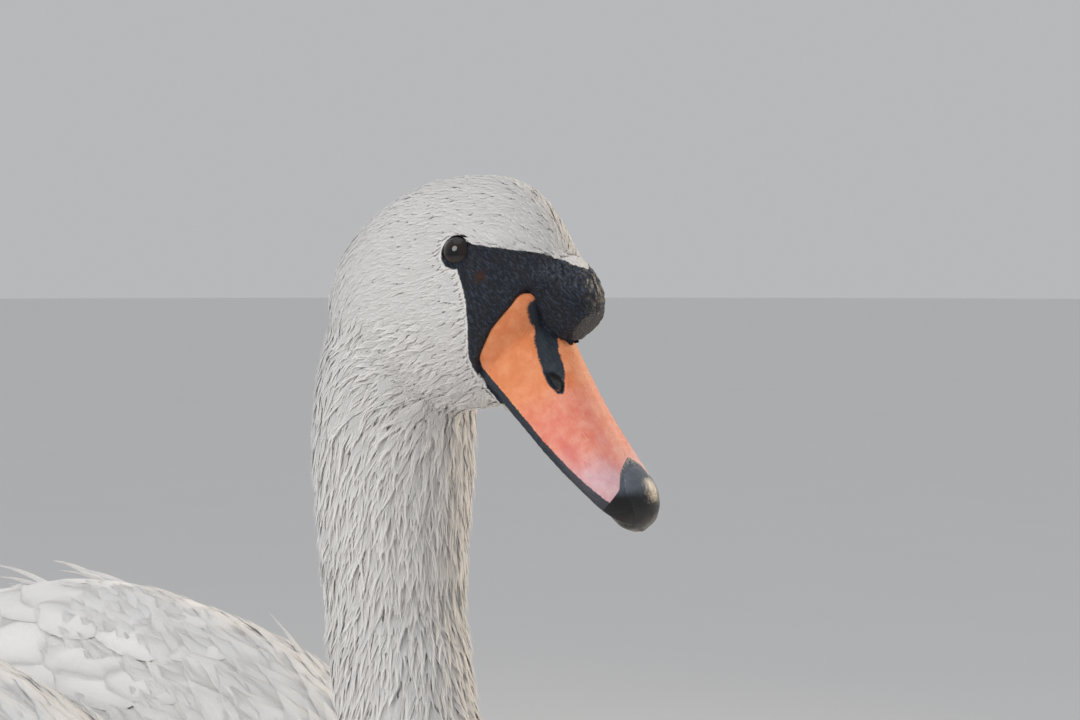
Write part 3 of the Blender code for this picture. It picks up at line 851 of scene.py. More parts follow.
def face_colour(f, tone, x, z):
    """Blue-black bare skin, warmer in places, with streaks of painted blue highlight and a rust patch before
    the eye.
    """
    skin = f.mixed(tone.rise(0.35, 0.65), BLUE_BLACK, WARM_BLACK)
    # painted blue highlights, in streaks over the wrinkled skin
    streak = f.streaks((0.30, 0.6, 1.1), -0.6, 1.6, 4.0, 0.7)
    skin = f.mixed(streak.rise(0.48, 0.64) * 0.95, skin, PAINTED_BLUE_HIGHLIGHT)
    patch = ((x - 14.8) ** 2.0 + (z - 2.4) ** 2.0) ** 0.5 + tone * 2.5
    return f.mixed((1 - patch.rise(1.6, 4.4)) * 0.85, skin, RUST)


def face_finish():
    """Down outside the bare face and wrinkled blue-black skin inside it, pebbled on the knob."""
    f = Finish("face_skin", Specular_IOR_Level=0.42)
    bare = f.kept("bare") + (f.cloud(f.place, 1500.0, 2.0) - 0.5) * 1.1
    inside = bare.rise(-0.25, 0.25)
    x, _, z = f.kept("beside_bill", "Vector").parts()
    tone = f.cloud(f.place, 160.0, 3.0)
    skin = face_colour(f, tone, x, z)
    knob = (z - x * 0.35).rise(2.0, 8.0) * x.rise(22.0, 29.0)
    pebble = 1 - f.cells(f.stretched(f.place, (1.0, 1.0, 0.72)), 560.0, "SMOOTH_F1")
    grain = f.streaks((0.34, 0.6, 0.95), -0.5, 1.5, 4.0, 0.6)
    fine = f.cloud(f.place, 1700.0, 3.0)
    rough_skin = knob * pebble * 2.0 + (1 - knob) * grain * 2.6 + fine * 0.3
    height = inside * rough_skin + (1 - inside) * fine * 0.5
    white = f.mixed(f.cloud(f.place, 120.0), WHITE_DIM_TONE_AND_SHADE, WHITE_PALE_TONE)
    rough = inside * (0.36 + tone * 0.22) + (1 - inside) * 0.8
    return f.lay(f.mixed(inside, white, skin), rough, height, 0.0016)


def bill_finish():
    """Orange at the base, then coral and pale lilac-pink, with a painted highlight along the middle of the
    top; the nostril's band and the edge are blue-black, and the nostrils are painted near-black as shade.
    """
    f = Finish("bill_horn", Specular_IOR_Level=0.45, Coat_Roughness=0.25, Subsurface_Weight=0.12,
               Subsurface_Scale=0.004, Subsurface_Radius=(1.0, 0.35, 0.2))
    x, y, z = f.kept("beside_bill", "Vector").parts()
    mottle = f.cloud(f.place, 210.0, 3.0, 0.6)
    blotch = f.cloud(f.place, 75.0, 2.0)
    orange = f.mixed(mottle.rise(0.3, 0.7), (0.80, 0.245, 0.085), (0.88, 0.34, 0.155))
    coral = f.mixed(mottle.rise(0.3, 0.7), (0.80, 0.215, 0.145), (0.86, 0.35, 0.26))
    lilac = f.mixed(mottle.rise(0.25, 0.75), (0.66, 0.36, 0.39), (0.76, 0.52, 0.54))
    run = x + (blotch - 0.5) * 22.0 - (z + 14.0) * 0.25
    horn = f.mixed(run.rise(80.0, 101.0), f.mixed(run.rise(48.0, 76.0), orange, coral), lilac)
    flush = (1 - (abs(x - 81.0) / 9.0 + abs(z + 20.0) / 3.5).rise(0.2, 1.2)) * 0.5
    horn = f.mixed(flush, horn, (0.66, 0.13, 0.13))
    # a painted highlight: paler orange along the middle of the top of the bill
    painted_ridge_highlight = (1 - abs(y).rise(2.0, 7.0)) * x.rise(50.0, 60.0) * 0.30
    horn = f.mixed(painted_ridge_highlight, horn, (0.86, 0.38, 0.24))
    fray = (f.cloud(f.place, 1300.0, 2.0) - 0.5) * 0.9
    inside = (f.kept("orange") + fray).rise(-0.18, 0.22)
    band = (f.kept("band") + fray).rise(-0.2, 0.35)
    dark = f.mixed(f.cloud(f.place, 260.0), (0.008, 0.016, 0.028), (0.020, 0.032, 0.045))
    low_edge = f.mixed(x.rise(72.0, 96.0) * 0.6, dark, (0.060, 0.056, 0.070))
    # painted shade: the nostrils near-black, as if deep inside
    painted_nostril_shade = f.kept("nostril").rise(-0.1, 0.35)
    tip = f.kept("nail").rise(-0.3, 0.3)
    colour = f.mixed(painted_nostril_shade, f.mixed(band, f.mixed(inside, low_edge, horn), dark), (0.002, 0.002, 0.002))
    colour = f.mixed(tip, colour, nail_colour(f)[0])
    striae = f.streaks((0.10, 0.5, 0.9), -0.2, 2.6, 4.0, 0.6)
    pits = f.cloud(f.place, 900.0, 3.0)
    rough = (0.36 + mottle * 0.18 + pits * 0.08) * (1 - tip * 0.6)
    return f.lay(colour, rough, striae * 0.9 + pits * 0.35 + blotch * 0.6, 0.0004)


def jaw_finish():
    f = Finish("jaw_skin", Specular_IOR_Level=0.4)
    tone = f.cloud(f.place, 240.0, 3.0)
    colour = f.mixed(tone, BLUE_BLACK, (0.030, 0.028, 0.030))
    return f.lay(colour, 0.4 + 0.2 * tone, tone + f.cloud(f.place, 1100.0), 0.0004)


def nail_colour(f):
    """Blue-grey where the nail grows out of the bill and black towards its tip, with its streaks."""
    x, _, z = f.kept("beside_bill", "Vector").parts()
    grown = (x + (z + 16.0) * -0.9 + f.cloud(f.place, 300.0) * 3.0).rise(103.5, 109.5)
    streak = f.streaks((0.25, 1.2, 1.2), 0.0, 1.4, 3.0)
    root = f.mixed(streak, (0.050, 0.062, 0.085), (0.130, 0.150, 0.180))
    return f.mixed(grown, root, (0.004, 0.004, 0.005)), streak


def nail_finish():
    f = Finish("nail_horn", Specular_IOR_Level=0.6, Coat_Roughness=0.08)
    colour, streak = nail_colour(f)
    return f.lay(colour, 0.20 + streak * 0.08, streak, 0.00025)


def eye_finish():
    """A near-black eye with a dark brown iris under a clear wet front."""
    f = Finish("eye_ball", Specular_IOR_Level=0.2, Coat_Roughness=0.02, Coat_IOR=1.36, Coat_Weight=1.0)
    away = f.kept("from_axis") / MM
    iris = f.mixed(f.cloud(f.place, 1400.0, 3.0), (0.004, 0.002, 0.0015), (0.018, 0.007, 0.003))
    ring = away.rise(2.1, 2.5) * (1 - away.rise(4.2, 4.9))
    colour = f.mixed(ring, (0.0015, 0.0015, 0.002), iris)
    return f.lay(colour, 0.08 + away * 0.004, f.cloud(f.place, 400.0), 0.00001)


def leg_finish():
    """Black-grey scutes down the shank and toes, with a finer net-like relief over them."""
    f = Finish("leg_skin", Specular_IOR_Level=0.4)
    tone = f.cloud(f.place, 90.0, 3.0)
    scale_edge = f.cells(f.stretched(f.place, (1.0, 1.0, 0.55)), 330.0, "DISTANCE_TO_EDGE")
    net = f.cells(f.place, 620.0, "DISTANCE_TO_EDGE")
    joint = 1 - scale_edge.rise(0.0, 0.12)
    scute = f.mixed(tone.rise(0.3, 0.7), (0.020, 0.021, 0.024), (0.055, 0.055, 0.058))
    colour = f.mixed(joint * 0.6, scute, (0.010, 0.010, 0.011))
    height = scale_edge.rise(0.0, 0.18) + net.rise(0.0, 0.2) * 0.45 + f.cloud(f.place, 1500.0) * 0.2
    return f.lay(colour, 0.46 + tone * 0.2, height, 0.0006)


def claw_finish():
    f = Finish("claw_horn", Specular_IOR_Level=0.5)
    streak = f.cloud(f.place, 500.0, 3.0)
    colour = f.mixed(streak, (0.010, 0.010, 0.011), (0.045, 0.042, 0.040))
    return f.lay(colour, 0.3 + 0.2 * streak, streak, 0.0003)


def floor_finish():
    f = Finish("studio_floor", Specular_IOR_Level=0.2)
    tone = f.cloud(f.place, 3.0, 2.0)
    colour = f.mixed(tone, (0.84, 0.835, 0.825), (0.86, 0.855, 0.845))
    return f.lay(colour, 0.85 + 0.1 * tone, tone, 0.0002)


# a plumage finish has its barbs along the vane, their slant and the relief's depth in metres
finishes = {"down": down_finish(), "face": face_finish(), "bill": bill_finish(), "jaw": jaw_finish(),
            "nail": nail_finish(), "eye": eye_finish(), "leg": leg_finish(), "claw": claw_finish(),
            "fleck": plumage_finish("down_flecks", 3.0, 1.0, 0.00006),
            "lock": plumage_finish("down_locks", 5.0, 2.0, 0.00012),
            "body": plumage_finish("body_feathers", 20.0, 8.0, 0.00022),
            "vane": plumage_finish("wing_coverts", 36.0, 12.0, 0.00022),
            "quill": plumage_finish("quill_vanes", 90.0, 16.0, 0.00024)}


def dress_skin():
    """Down over the body, the face's own finish round the bill, and scaled skin on the legs."""
    mesh = skin.data
    put(mesh, "beside_bill", "FLOAT_VECTOR", in_bill(skin_points))
    for key in ("down", "face", "leg"):
        mesh.materials.append(finishes[key])
    faces = np.array([p.vertices[0] for p in mesh.polygons])
    bare_face = (in_head(skin_points)[:, 0] > -14) & parts_in(skin_parts, "head", "bill_knob")
    scaled = parts_in(skin_parts, "leg", "foot") & (skin_points[:, 2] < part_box("thigh_left")[0].z - 0.001)
    kind = np.where(scaled, 2, np.where(bare_face, 1, 0))[faces]
    mesh.polygons.foreach_set("material_index", kind.astype(np.int32))


dress_skin()


# ---- feathers: their forms, each from 0 to 1 along and -1 to 1 across ----
def feather_mesh(name, points, faces, spots):
    """A closed feather with its own places kept: along, across, and 1 on the upper side."""
    mesh = mesh_of(name, points, faces)
    put(mesh, "spot", "FLOAT_VECTOR", spots)
    return bpy.data.objects.new(name, faced_out(mesh))


def tuft(name, tips, waist, rng):
    """A small lock drawn into a few points, as a low double cone over its outline."""
    outline = [(0.0, 0.0), (waist, -0.92)]
    for k in range(tips):
        side = (k + 0.5) / tips * 2 - 1
        reach = 1 - 0.42 * abs(side) + rng.uniform(-0.06, 0.06)
        outline.append((reach, side * 0.62 + rng.uniform(-0.1, 0.1)))
        if k < tips - 1:
            outline.append((reach - 0.30 + rng.uniform(-0.08, 0.08), (k + 1) / tips * 2 - 1))
    outline.append((waist, 0.92))
    flat = np.array(outline)
    along, across = np.append(flat[:, 0], [0.42, 0.42]), np.append(flat[:, 1], [0.0, 0.0])
    spots = np.stack([along, across, np.append(np.full(len(flat), 0.5), [1, 0])], 1)
    n = len(flat)
    faces = [(k, (k + 1) % n, n) for k in range(n)] + [((k + 1) % n, k, n + 1) for k in range(n)]
    points = np.stack([along, across * 0.5, 0 * along], 1)
    points[n, 2], points[n + 1, 2] = 0.02, -0.01
    return feather_mesh(name, points, faces, spots)


def vane(name, rows, columns, widest, blunt, ragged, rng, sweep=0.0, curl=0.0):
    """A feather with a rounded or drawn-out tip, its edge a little ragged, closed below by one strip."""
    t = np.linspace(0, 1, rows + 2)[1:-1] ** 0.9
    rise = np.sin(np.pi / 2 * np.minimum(t / widest, 1)) ** 0.6
    fall = 1 - (np.maximum(t - widest, 0) / (1 - widest)) ** blunt
    half = np.maximum(rise * fall, 0.05) ** 0.7
    s = np.linspace(-1, 1, columns)
    along = t[:, None] - 0.10 * (s ** 2)[None] * t[:, None]
    rough = rng.uniform(-ragged, ragged, (rows, 2))
    edge = np.stack([half + rough[:, 0], half + rough[:, 1]], 1)
    wide = np.where(s[None] < 0, edge[:, :1], edge[:, 1:])
    across = s[None] * wide
    along = along + rng.uniform(-ragged, ragged, (rows, columns)) * 0.25 * (abs(s)[None] > 0.6)
    shift = sweep * t[:, None] ** 2
    grid = np.stack([along, across * 0.5 + shift, 0.03 * (1 - abs(s[None]) ** 2) * wide], 2)
    points = np.concatenate([grid.reshape(-1, 3), [(0, 0, 0), (1, sweep, 0)]])
    points[:, 2] -= curl * points[:, 0] ** 2
    upper = np.where(abs(s) > 0.99, 0.5, 1.0)[None] + 0 * across
    spots = np.stack([along, s[None] + 0 * across, upper], 2).reshape(-1, 3)
    spots = np.concatenate([spots, [(0, 0, 0.5), (1, 0, 0.5)]])
    root, tip, last = rows * columns, rows * columns + 1, columns - 1
    faces = []
    for i in range(rows - 1):
        a, b = i * columns, (i + 1) * columns
        faces += [(a + k, b + k, b + k + 1, a + k + 1) for k in range(columns - 1)]
        faces.append((a, a + last, b + last, b))
    a = (rows - 1) * columns
    for k in range(columns - 1):
        faces += [(root, k, k + 1), (a + k, tip, a + k + 1)]
    faces += [(root, last, 0), (a + last, tip, a)]
    return feather_mesh(name, points, faces, spots)


def family(name, make, count=3):
    """A few shapes of one kind of feather."""
    group = bpy.data.collections.new(name)
    rng = np.random.default_rng(len(name) * 7 + 3)
    for k in range(count):
        group.objects.link(make(f"{name}_{k}", rng))
    return group


KINDS = {name: family(name, make) for name, make in {  # vane: rows, columns, widest, blunt, ragged
    "fleck": lambda name, rng: tuft(name, 1, 0.45, rng),
    "lock": lambda name, rng: tuft(name, 2 + int(rng.integers(0, 2)), 0.34, rng),
    "body": lambda name, rng: vane(name, 7, 5, 0.46, 1.45, 0.05, rng),
    "covert": lambda name, rng: vane(name, 13, 7, 0.46, 1.5, 0.03, rng),
    "flight": lambda name, rng: vane(name, 22, 7, 0.40, 4.0, 0.025, rng, rng.uniform(-0.02, 0.02), 0.02),
    "wisp": lambda name, rng: vane(name, 14, 3, 0.22, 1.15, 0.03, rng, rng.uniform(-0.08, 0.08),
                                   rng.uniform(0.18, 0.42)),
    "round": lambda name, rng: vane(name, 13, 7, 0.50, 3.2, 0.03, rng, rng.uniform(-0.02, 0.02)),
}.items()}


# ---- the trees that lay feathers on the skin ----
COAT_SIZES = {"Spacing": 0.01, "Length": 0.03, "Width": 0.01, "Vary": 0.2, "Turn": 0.2, "Rise": 0.001,
              "Lift": 0.002, "Camber": 0.0, "Thick": 0.0002, "Follow": 1.0}
PATCH = 0.003  # of the unwrap, for each feather
CROWD = 1.7  # points tried for each square of the spacing
FEATHER_EDGE = math.radians(60)


class Layer(Board):
    """A geometry tree whose sizes are named inputs. It scatters feathers, or sets one on each point."""

    def __init__(self, name, scattered):
        super().__init__(bpy.data.node_groups.new(name, "GeometryNodeTree"))
        face = self.tree.interface
        for label, kind in (("Geometry", "Geometry"), ("Skin", "Object"), ("Feathers", "Collection"),
                            ("Finish", "Material"), ("Seed", "Int")):
            face.new_socket(label, in_out="INPUT", socket_type="NodeSocket" + kind)
        for label, size in COAT_SIZES.items():
            face.new_socket(label, in_out="INPUT", socket_type="NodeSocketFloat").default_value = size
        face.new_socket("Geometry", in_out="OUTPUT", socket_type="NodeSocketGeometry")
        self.given = self.add("NodeGroupInput", {}, {})
        self.build(scattered)

    def field(self, name, kind="FLOAT"):
        return self.add("GeometryNodeInputNamedAttribute", {"data_type": kind}, {"Name": name})

    def keep(self, geometry, name, value, kind="FLOAT", domain="POINT"):
        return self.add("GeometryNodeStoreNamedAttribute", {"data_type": kind, "domain": domain},
                        {"Geometry": geometry, "Name": name, "Value": value})

    def chance(self, low, high, step):
        return self.add("FunctionNodeRandomValue", {"data_type": "FLOAT"},
                        {2: low, 3: high, "Seed": self.given["Seed"] + step}, 1)

    def vector(self, operation, first, second):
        return self.add("ShaderNodeVectorMath", {"operation": operation}, {0: first, 1: second})

    def joined(self, x, y, z):
        return self.add("ShaderNodeCombineXYZ", {}, {"X": x, "Y": y, "Z": z})

    def build(self, scattered):
        given, vary = self.given, self.given["Vary"]
        if scattered:
            ground, room = given["Geometry"], self.field("room")
            patch = self.add("GeometryNodeSeparateGeometry", {"domain": "FACE"},
                             {"Geometry": ground, "Selection": room.math("GREATER_THAN", room, 0.01)})
            points = self.add("GeometryNodeDistributePointsOnFaces", {"distribute_method": "POISSON"},
                              {"Mesh": patch, "Distance Min": given["Spacing"], "Density Factor": room,
                               "Density Max": CROWD / (given["Spacing"] * given["Spacing"]),
                               "Seed": given["Seed"]})
            span = self.joined(given["Length"], given["Width"], 1.0)
        else:
            ground = self.add("GeometryNodeObjectInfo", {}, {"Object": given["Skin"]}, "Geometry")
            points = self.add("GeometryNodeMeshToPoints", {}, {"Mesh": given["Geometry"]})
            span = self.field("span", "FLOAT_VECTOR")
        points = self.keep(points, "shade", self.chance(0.0, 1.0, 1))
        wide, long = self.chance(1 - vary, 1 + vary, 2), self.chance(1 - vary, 1 + vary, 3)
        span = self.vector("MULTIPLY", span, self.joined(long, wide, 1.0))
        points = self.keep(points, "size", span, "FLOAT_VECTOR")
        aim = self.add("FunctionNodeAxesToRotation", {"primary_axis": "Z", "secondary_axis": "X"},
                       {"Primary Axis": self.field("facing", "FLOAT_VECTOR"),
                        "Secondary Axis": self.field("lie", "FLOAT_VECTOR")})
        swing = self.add("FunctionNodeAxisAngleToRotation", {},
                         {"Axis": (0, 0, 1), "Angle": self.chance(-1.0, 1.0, 4) * given["Turn"]})
        aim = self.add("FunctionNodeRotateRotation", {"rotation_space": "LOCAL"},
                       {"Rotation": aim, "Rotate By": swing})
        shapes = self.add("GeometryNodeCollectionInfo", {},
                          {"Collection": given["Feathers"], "Separate Children": True,
                           "Reset Children": True})
        which = self.add("FunctionNodeRandomValue", {"data_type": "INT"},
                         {4: 0, 5: 2, "Seed": given["Seed"] + 5}, 2)
        long, wide, _ = span.parts()
        laid = self.add("GeometryNodeInstanceOnPoints", {},
                        {"Points": points, "Instance": shapes, "Pick Instance": True, "Instance Index": which,
                         "Rotation": aim, "Scale": self.joined(long, wide, long)})
        solid = self.add("GeometryNodeRealizeInstances", {}, {"Geometry": laid})
        self.finish(self.settled(solid, ground))

    def settled(self, solid, ground):
        """Bends each feather over the skin, its root low and its tip lifted over the next one."""
        given = self.given
        along, across, upper = self.field("spot", "FLOAT_VECTOR").parts()
        _, broad, _ = self.field("size", "FLOAT_VECTOR").parts()
        place = self.add("GeometryNodeInputPosition", {}, {})
        foot, facing = (self.add("GeometryNodeSampleNearestSurface", {"data_type": "FLOAT_VECTOR"},
                                 {"Mesh": ground, "Value": value})
                        for value in (place, self.field("facing", "FLOAT_VECTOR")))
        lifted = given["Rise"] + given["Lift"] * (along ** 1.3) * (0.55 + self.field("shade") * 0.9)
        height = lifted + given["Thick"] * upper - given["Camber"] * broad * across * across * (along ** 0.5)
        raised = self.add("ShaderNodeVectorMath", {"operation": "SCALE"}, {0: facing, "Scale": height})
        bent = self.vector("ADD", foot, raised)
        close = given["Follow"] * (1 - (1 - given["Follow"]) * along) * (1 - self.field("free"))
        settled = self.blend("VECTOR", "Vector", close, place, bent)
        solid = self.add("GeometryNodeSetPosition", {}, {"Geometry": solid, "Position": settled})
        patch = self.vector("ADD", self.field("unwrap", "FLOAT_VECTOR"),
                            self.joined((along - 0.5) * PATCH, across * (PATCH / 2), 0.0))
        return self.keep(solid, "OFBake", patch, "FLOAT2", "CORNER")

    def finish(self, solid):
        for name in ("room", "facing", "lie", "bare", "unwrap", "size", "span", "free", "beside_bill"):
            solid = self.add("GeometryNodeRemoveAttribute", {}, {"Geometry": solid, "Name": name})
        solid = self.add("GeometryNodeSetMaterial", {}, {"Geometry": solid, "Material": self.given["Finish"]})
        self.tree.links.new(solid.socket, self.tree.nodes.new("NodeGroupOutput").inputs["Geometry"])


SCATTER, ROWS = Layer("feather_scatter", True), Layer("feather_rows", False)


def grown(name, base, layer, kind, finish, seed, sizes):
    """Runs a tree over a base and keeps the result as a plain piece."""
    modifier = base.modifiers.new("coat", "NODES")
    modifier.node_group = layer.tree
    values = {"Skin": None if base is skin else skin, "Feathers": KINDS[kind], "Finish": finishes[finish],
              "Seed": seed, **COAT_SIZES, **sizes}
    for socket in layer.tree.interface.items_tree:
        if socket.in_out == "INPUT" and socket.name in values:
            modifier[socket.identifier] = values[socket.name]
    mesh = evaluated(base)
    base.modifiers.remove(modifier)
    smoothed(mesh)
    mesh.set_sharp_from_angle(angle=FEATHER_EDGE)
    mesh.name = name
    return object_of(name, mesh)


# ---- where each kind of feather grows ----
SKIN_TREE = BVHTree.FromPolygons([Vector(p) for p in skin_points],
                                 [p.vertices[:] for p in skin.data.polygons])
HIGH = 0.9  # over the whole bird, for lines cast down


def skin_uv():
    """The place of each skin point on the unwrap."""
    found = np.zeros((len(skin_points), 2))
    corner = values_of(skin.data.loops, "vertex_index", 1, np.int32)[:, 0]
    found[corner] = values_of(skin.data.uv_layers["unwrap"].uv, "vector", 2, np.float32)
    return found


SKIN_UV = skin_uv()


def free_at(places):
    """1 where feathers run on past the end of the body and wings, so that they lie straight; 0 elsewhere."""
    x, _, z = places.T
    return ease(*FREE_START_X, x) * ease(*FREE_END_X, x) * ease(*FREE_Z, z)


def rows(name, feathers, kind, finish, seed, sizes, free=0):
    """One feather on each given place, with the way it faces and lies, its length and its width."""
    places, facings, lies, spans = (np.array(part, float) for part in zip(*feathers))
    base = object_of(name + "_roots", mesh_of(name + "_roots", places, []))
    nearest = [int(np.argmin(((skin_points - p) ** 2).sum(1))) for p in places]
    put(base.data, "unwrap", "FLOAT2", SKIN_UV[nearest])
    put(base.data, "facing", "FLOAT_VECTOR", facings)
    put(base.data, "lie", "FLOAT_VECTOR", lies)
    put(base.data, "free", "FLOAT", free_at(places) * free)
    put(base.data, "span", "FLOAT_VECTOR", np.column_stack([spans, np.ones(len(spans))]))
    made = grown(name, base, ROWS, kind, finish, seed, sizes)
    bpy.data.objects.remove(base)
    return made


def against(origin, way):
    """Where a line meets the skin, and the way the skin faces there."""
    hit, normal, _, _ = SKIN_TREE.ray_cast(Vector(origin), Vector(way))
    return (np.array(hit), np.array(normal)) if hit else None


def wing_rows(side):
    """Secondaries and the long coverts over them, fanned from low on the wing's front to high on its back."""
    sign, (low, high) = SIDES[side], corners("wing_" + side)
    size = high - low
    coverts, quills = [], []
    for group, count, start, end, long, wide, tilt in (  # start and end: shares of the wing's box
        (quills, 17, (0.56, 0.16), (0.40, 0.90), 0.205, 0.050, (0.04, 0.42)),
        (coverts, 19, (0.70, 0.12), (0.50, 0.93), 0.135, 0.042, (0.06, 0.46)),
    ):
        for k in range(count):
            t = k / (count - 1)
            x = low[0] + size[0] * (start[0] + (end[0] - start[0]) * t)
            z = low[2] + size[2] * (start[1] + (end[1] - start[1]) * t)
            met = against((x, sign * 0.4, z), (0, -sign, 0))
            if met is None:
                continue
            rise = tilt[0] + (tilt[1] - tilt[0]) * t
            span = (long * (0.86 + 0.22 * math.sin(math.pi * t)), wide)
            group.append((*met, (-1, 0, rise), span))
    return coverts, quills


def crest_wisps(side, rng):
    """Loose tips that rise along the crest of the wing and curve back, and a long one by the neck."""
    sign, (low, high) = SIDES[side], corners("wing_" + side)
    count, found = 44, []
    for k in range(count):
        t = (k + rng.uniform(0, 1)) / count
        x = low[0] + (high[0] - low[0]) * (0.28 + 0.66 * t)
        across = [against((x, sign * y, HIGH), (0, 0, -1)) for y in np.linspace(0.03, 0.15, 13)]
        place, _ = max((met for met in across if met), key=lambda met: met[0][2])
        place = place + np.array([0, sign * rng.uniform(-0.012, 0.022), -rng.uniform(0.004, 0.014)])
        stands_up = 0.35 if k % 9 == 4 else 0.0
        rise = 0.50 + rng.uniform(-0.10, 0.20) - 0.20 * t + stands_up
        facing = unit((0.35, sign * rng.uniform(-0.1, 0.5), 1.0))
        found.append((place, facing, (-1, sign * rng.uniform(-0.12, 0.12), rise - 0.15),
                      (rng.uniform(0.045, 0.085), rng.uniform(0.004, 0.008))))
    by_neck, _ = against((NECK_WISP[0], sign * NECK_WISP[1], HIGH), (0, 0, -1))
    found.append((by_neck - 0.004 * UP, unit((1.0, 0.2 * sign, 0.8)), (-0.8, 0, 1.0), (0.042, 0.0050)))
    return found


def quill(root, tip, facing, width):
    """A feather that runs straight from its root to its tip."""
    way = np.array(tip) - root
    return root, unit(facing), way, (np.linalg.norm(way), width)


def primaries(side):
    """Ten long quills stacked over each other from the wrist to the crossed tips."""
    sign, (low, high) = SIDES[side], corners("wing_tip_" + side)
    outside = abs(high[1] if sign > 0 else low[1])
    found = []
    for k in range(10):
        t = k / 9
        root = (high[0] + 0.012 - 0.010 * t, sign * (outside - 0.036 - 0.020 * t),
                low[2] + 0.018 + 0.034 * t)
        tip = (low[0] + 0.006 + 0.055 * (1 - t) ** 1.4, sign * (0.030 + 0.040 * (1 - t)),
               low[2] + 0.022 + 0.026 * t)
        found.append(quill(root, tip, (0, sign * (0.75 - 0.5 * t), 0.75), 0.030))
    return found


def tail_quills():
    """Rectrices fanned out under the tail's coverts, the middle ones on top and longest."""
    low, high = corners("tail")
    found = []
    for k in range(22):
        t = (k + 0.5) / 22 * 2 - 1
        root = (high[0] - 0.030 - 0.010 * t * t, t * 0.034, high[2] - 0.012 - 0.009 * abs(t))
        tip = (low[0] + 0.004 + 0.075 * abs(t) ** 1.8, t * (high[1] - 0.006),
               low[2] + 0.012 + 0.006 * (1 - abs(t)))
        found.append(quill(root, tip, (0.1, 0.35 * t, 1.0), 0.034))
    return found


def back_feathers(rng):
    """Broad feathers down the middle of the back, between the wings, and over the rump."""
    found = []
    for row, x in enumerate(np.linspace(*BACK_ENDS, 19)):
        half = BACK_HALF - RUMP_TAPER * ease(*RUMP_X, x)
        for y in np.linspace(-half, half, 7) + (0.006 if row % 2 else -0.006):
            met = against((x + rng.uniform(-0.005, 0.005), y, HIGH), (0, 0, -1))
            if met and met[1][0] > -0.5:
                found.append((met[0], unit(met[1] + 0.8 * UP), (-1, y * 1.5, -0.10 - 0.12 * (x < RUMP_START)),
                              (rng.uniform(0.070, 0.092), rng.uniform(0.028, 0.036))))
    return found


def tail_coverts():
    """Softer feathers over and under the roots of the tail, in three rows from the rump back."""
    low, high = corners("tail")
    found = []
    for facing, height, bow, step, dip in ((1.0, high[2] - 0.010, -0.010, -0.005, -0.10),
                                           (-1.0, low[2] + 0.006, 0.004, 0.001, 0.12)):
        for row in range(3):
            for k in range(11 - row):
                t = (k + 0.5) / (11 - row) * 2 - 1
                root = (high[0] - 0.004 - 0.030 * row, t * (0.052 - 0.004 * row),
                        height + bow * abs(t) + step * row)
                found.append((root, unit((0.0, 0.55 * t, facing)), (-1.0, 0.20 * t, dip),
                              (0.082 - 0.004 * row, 0.026)))
    return found


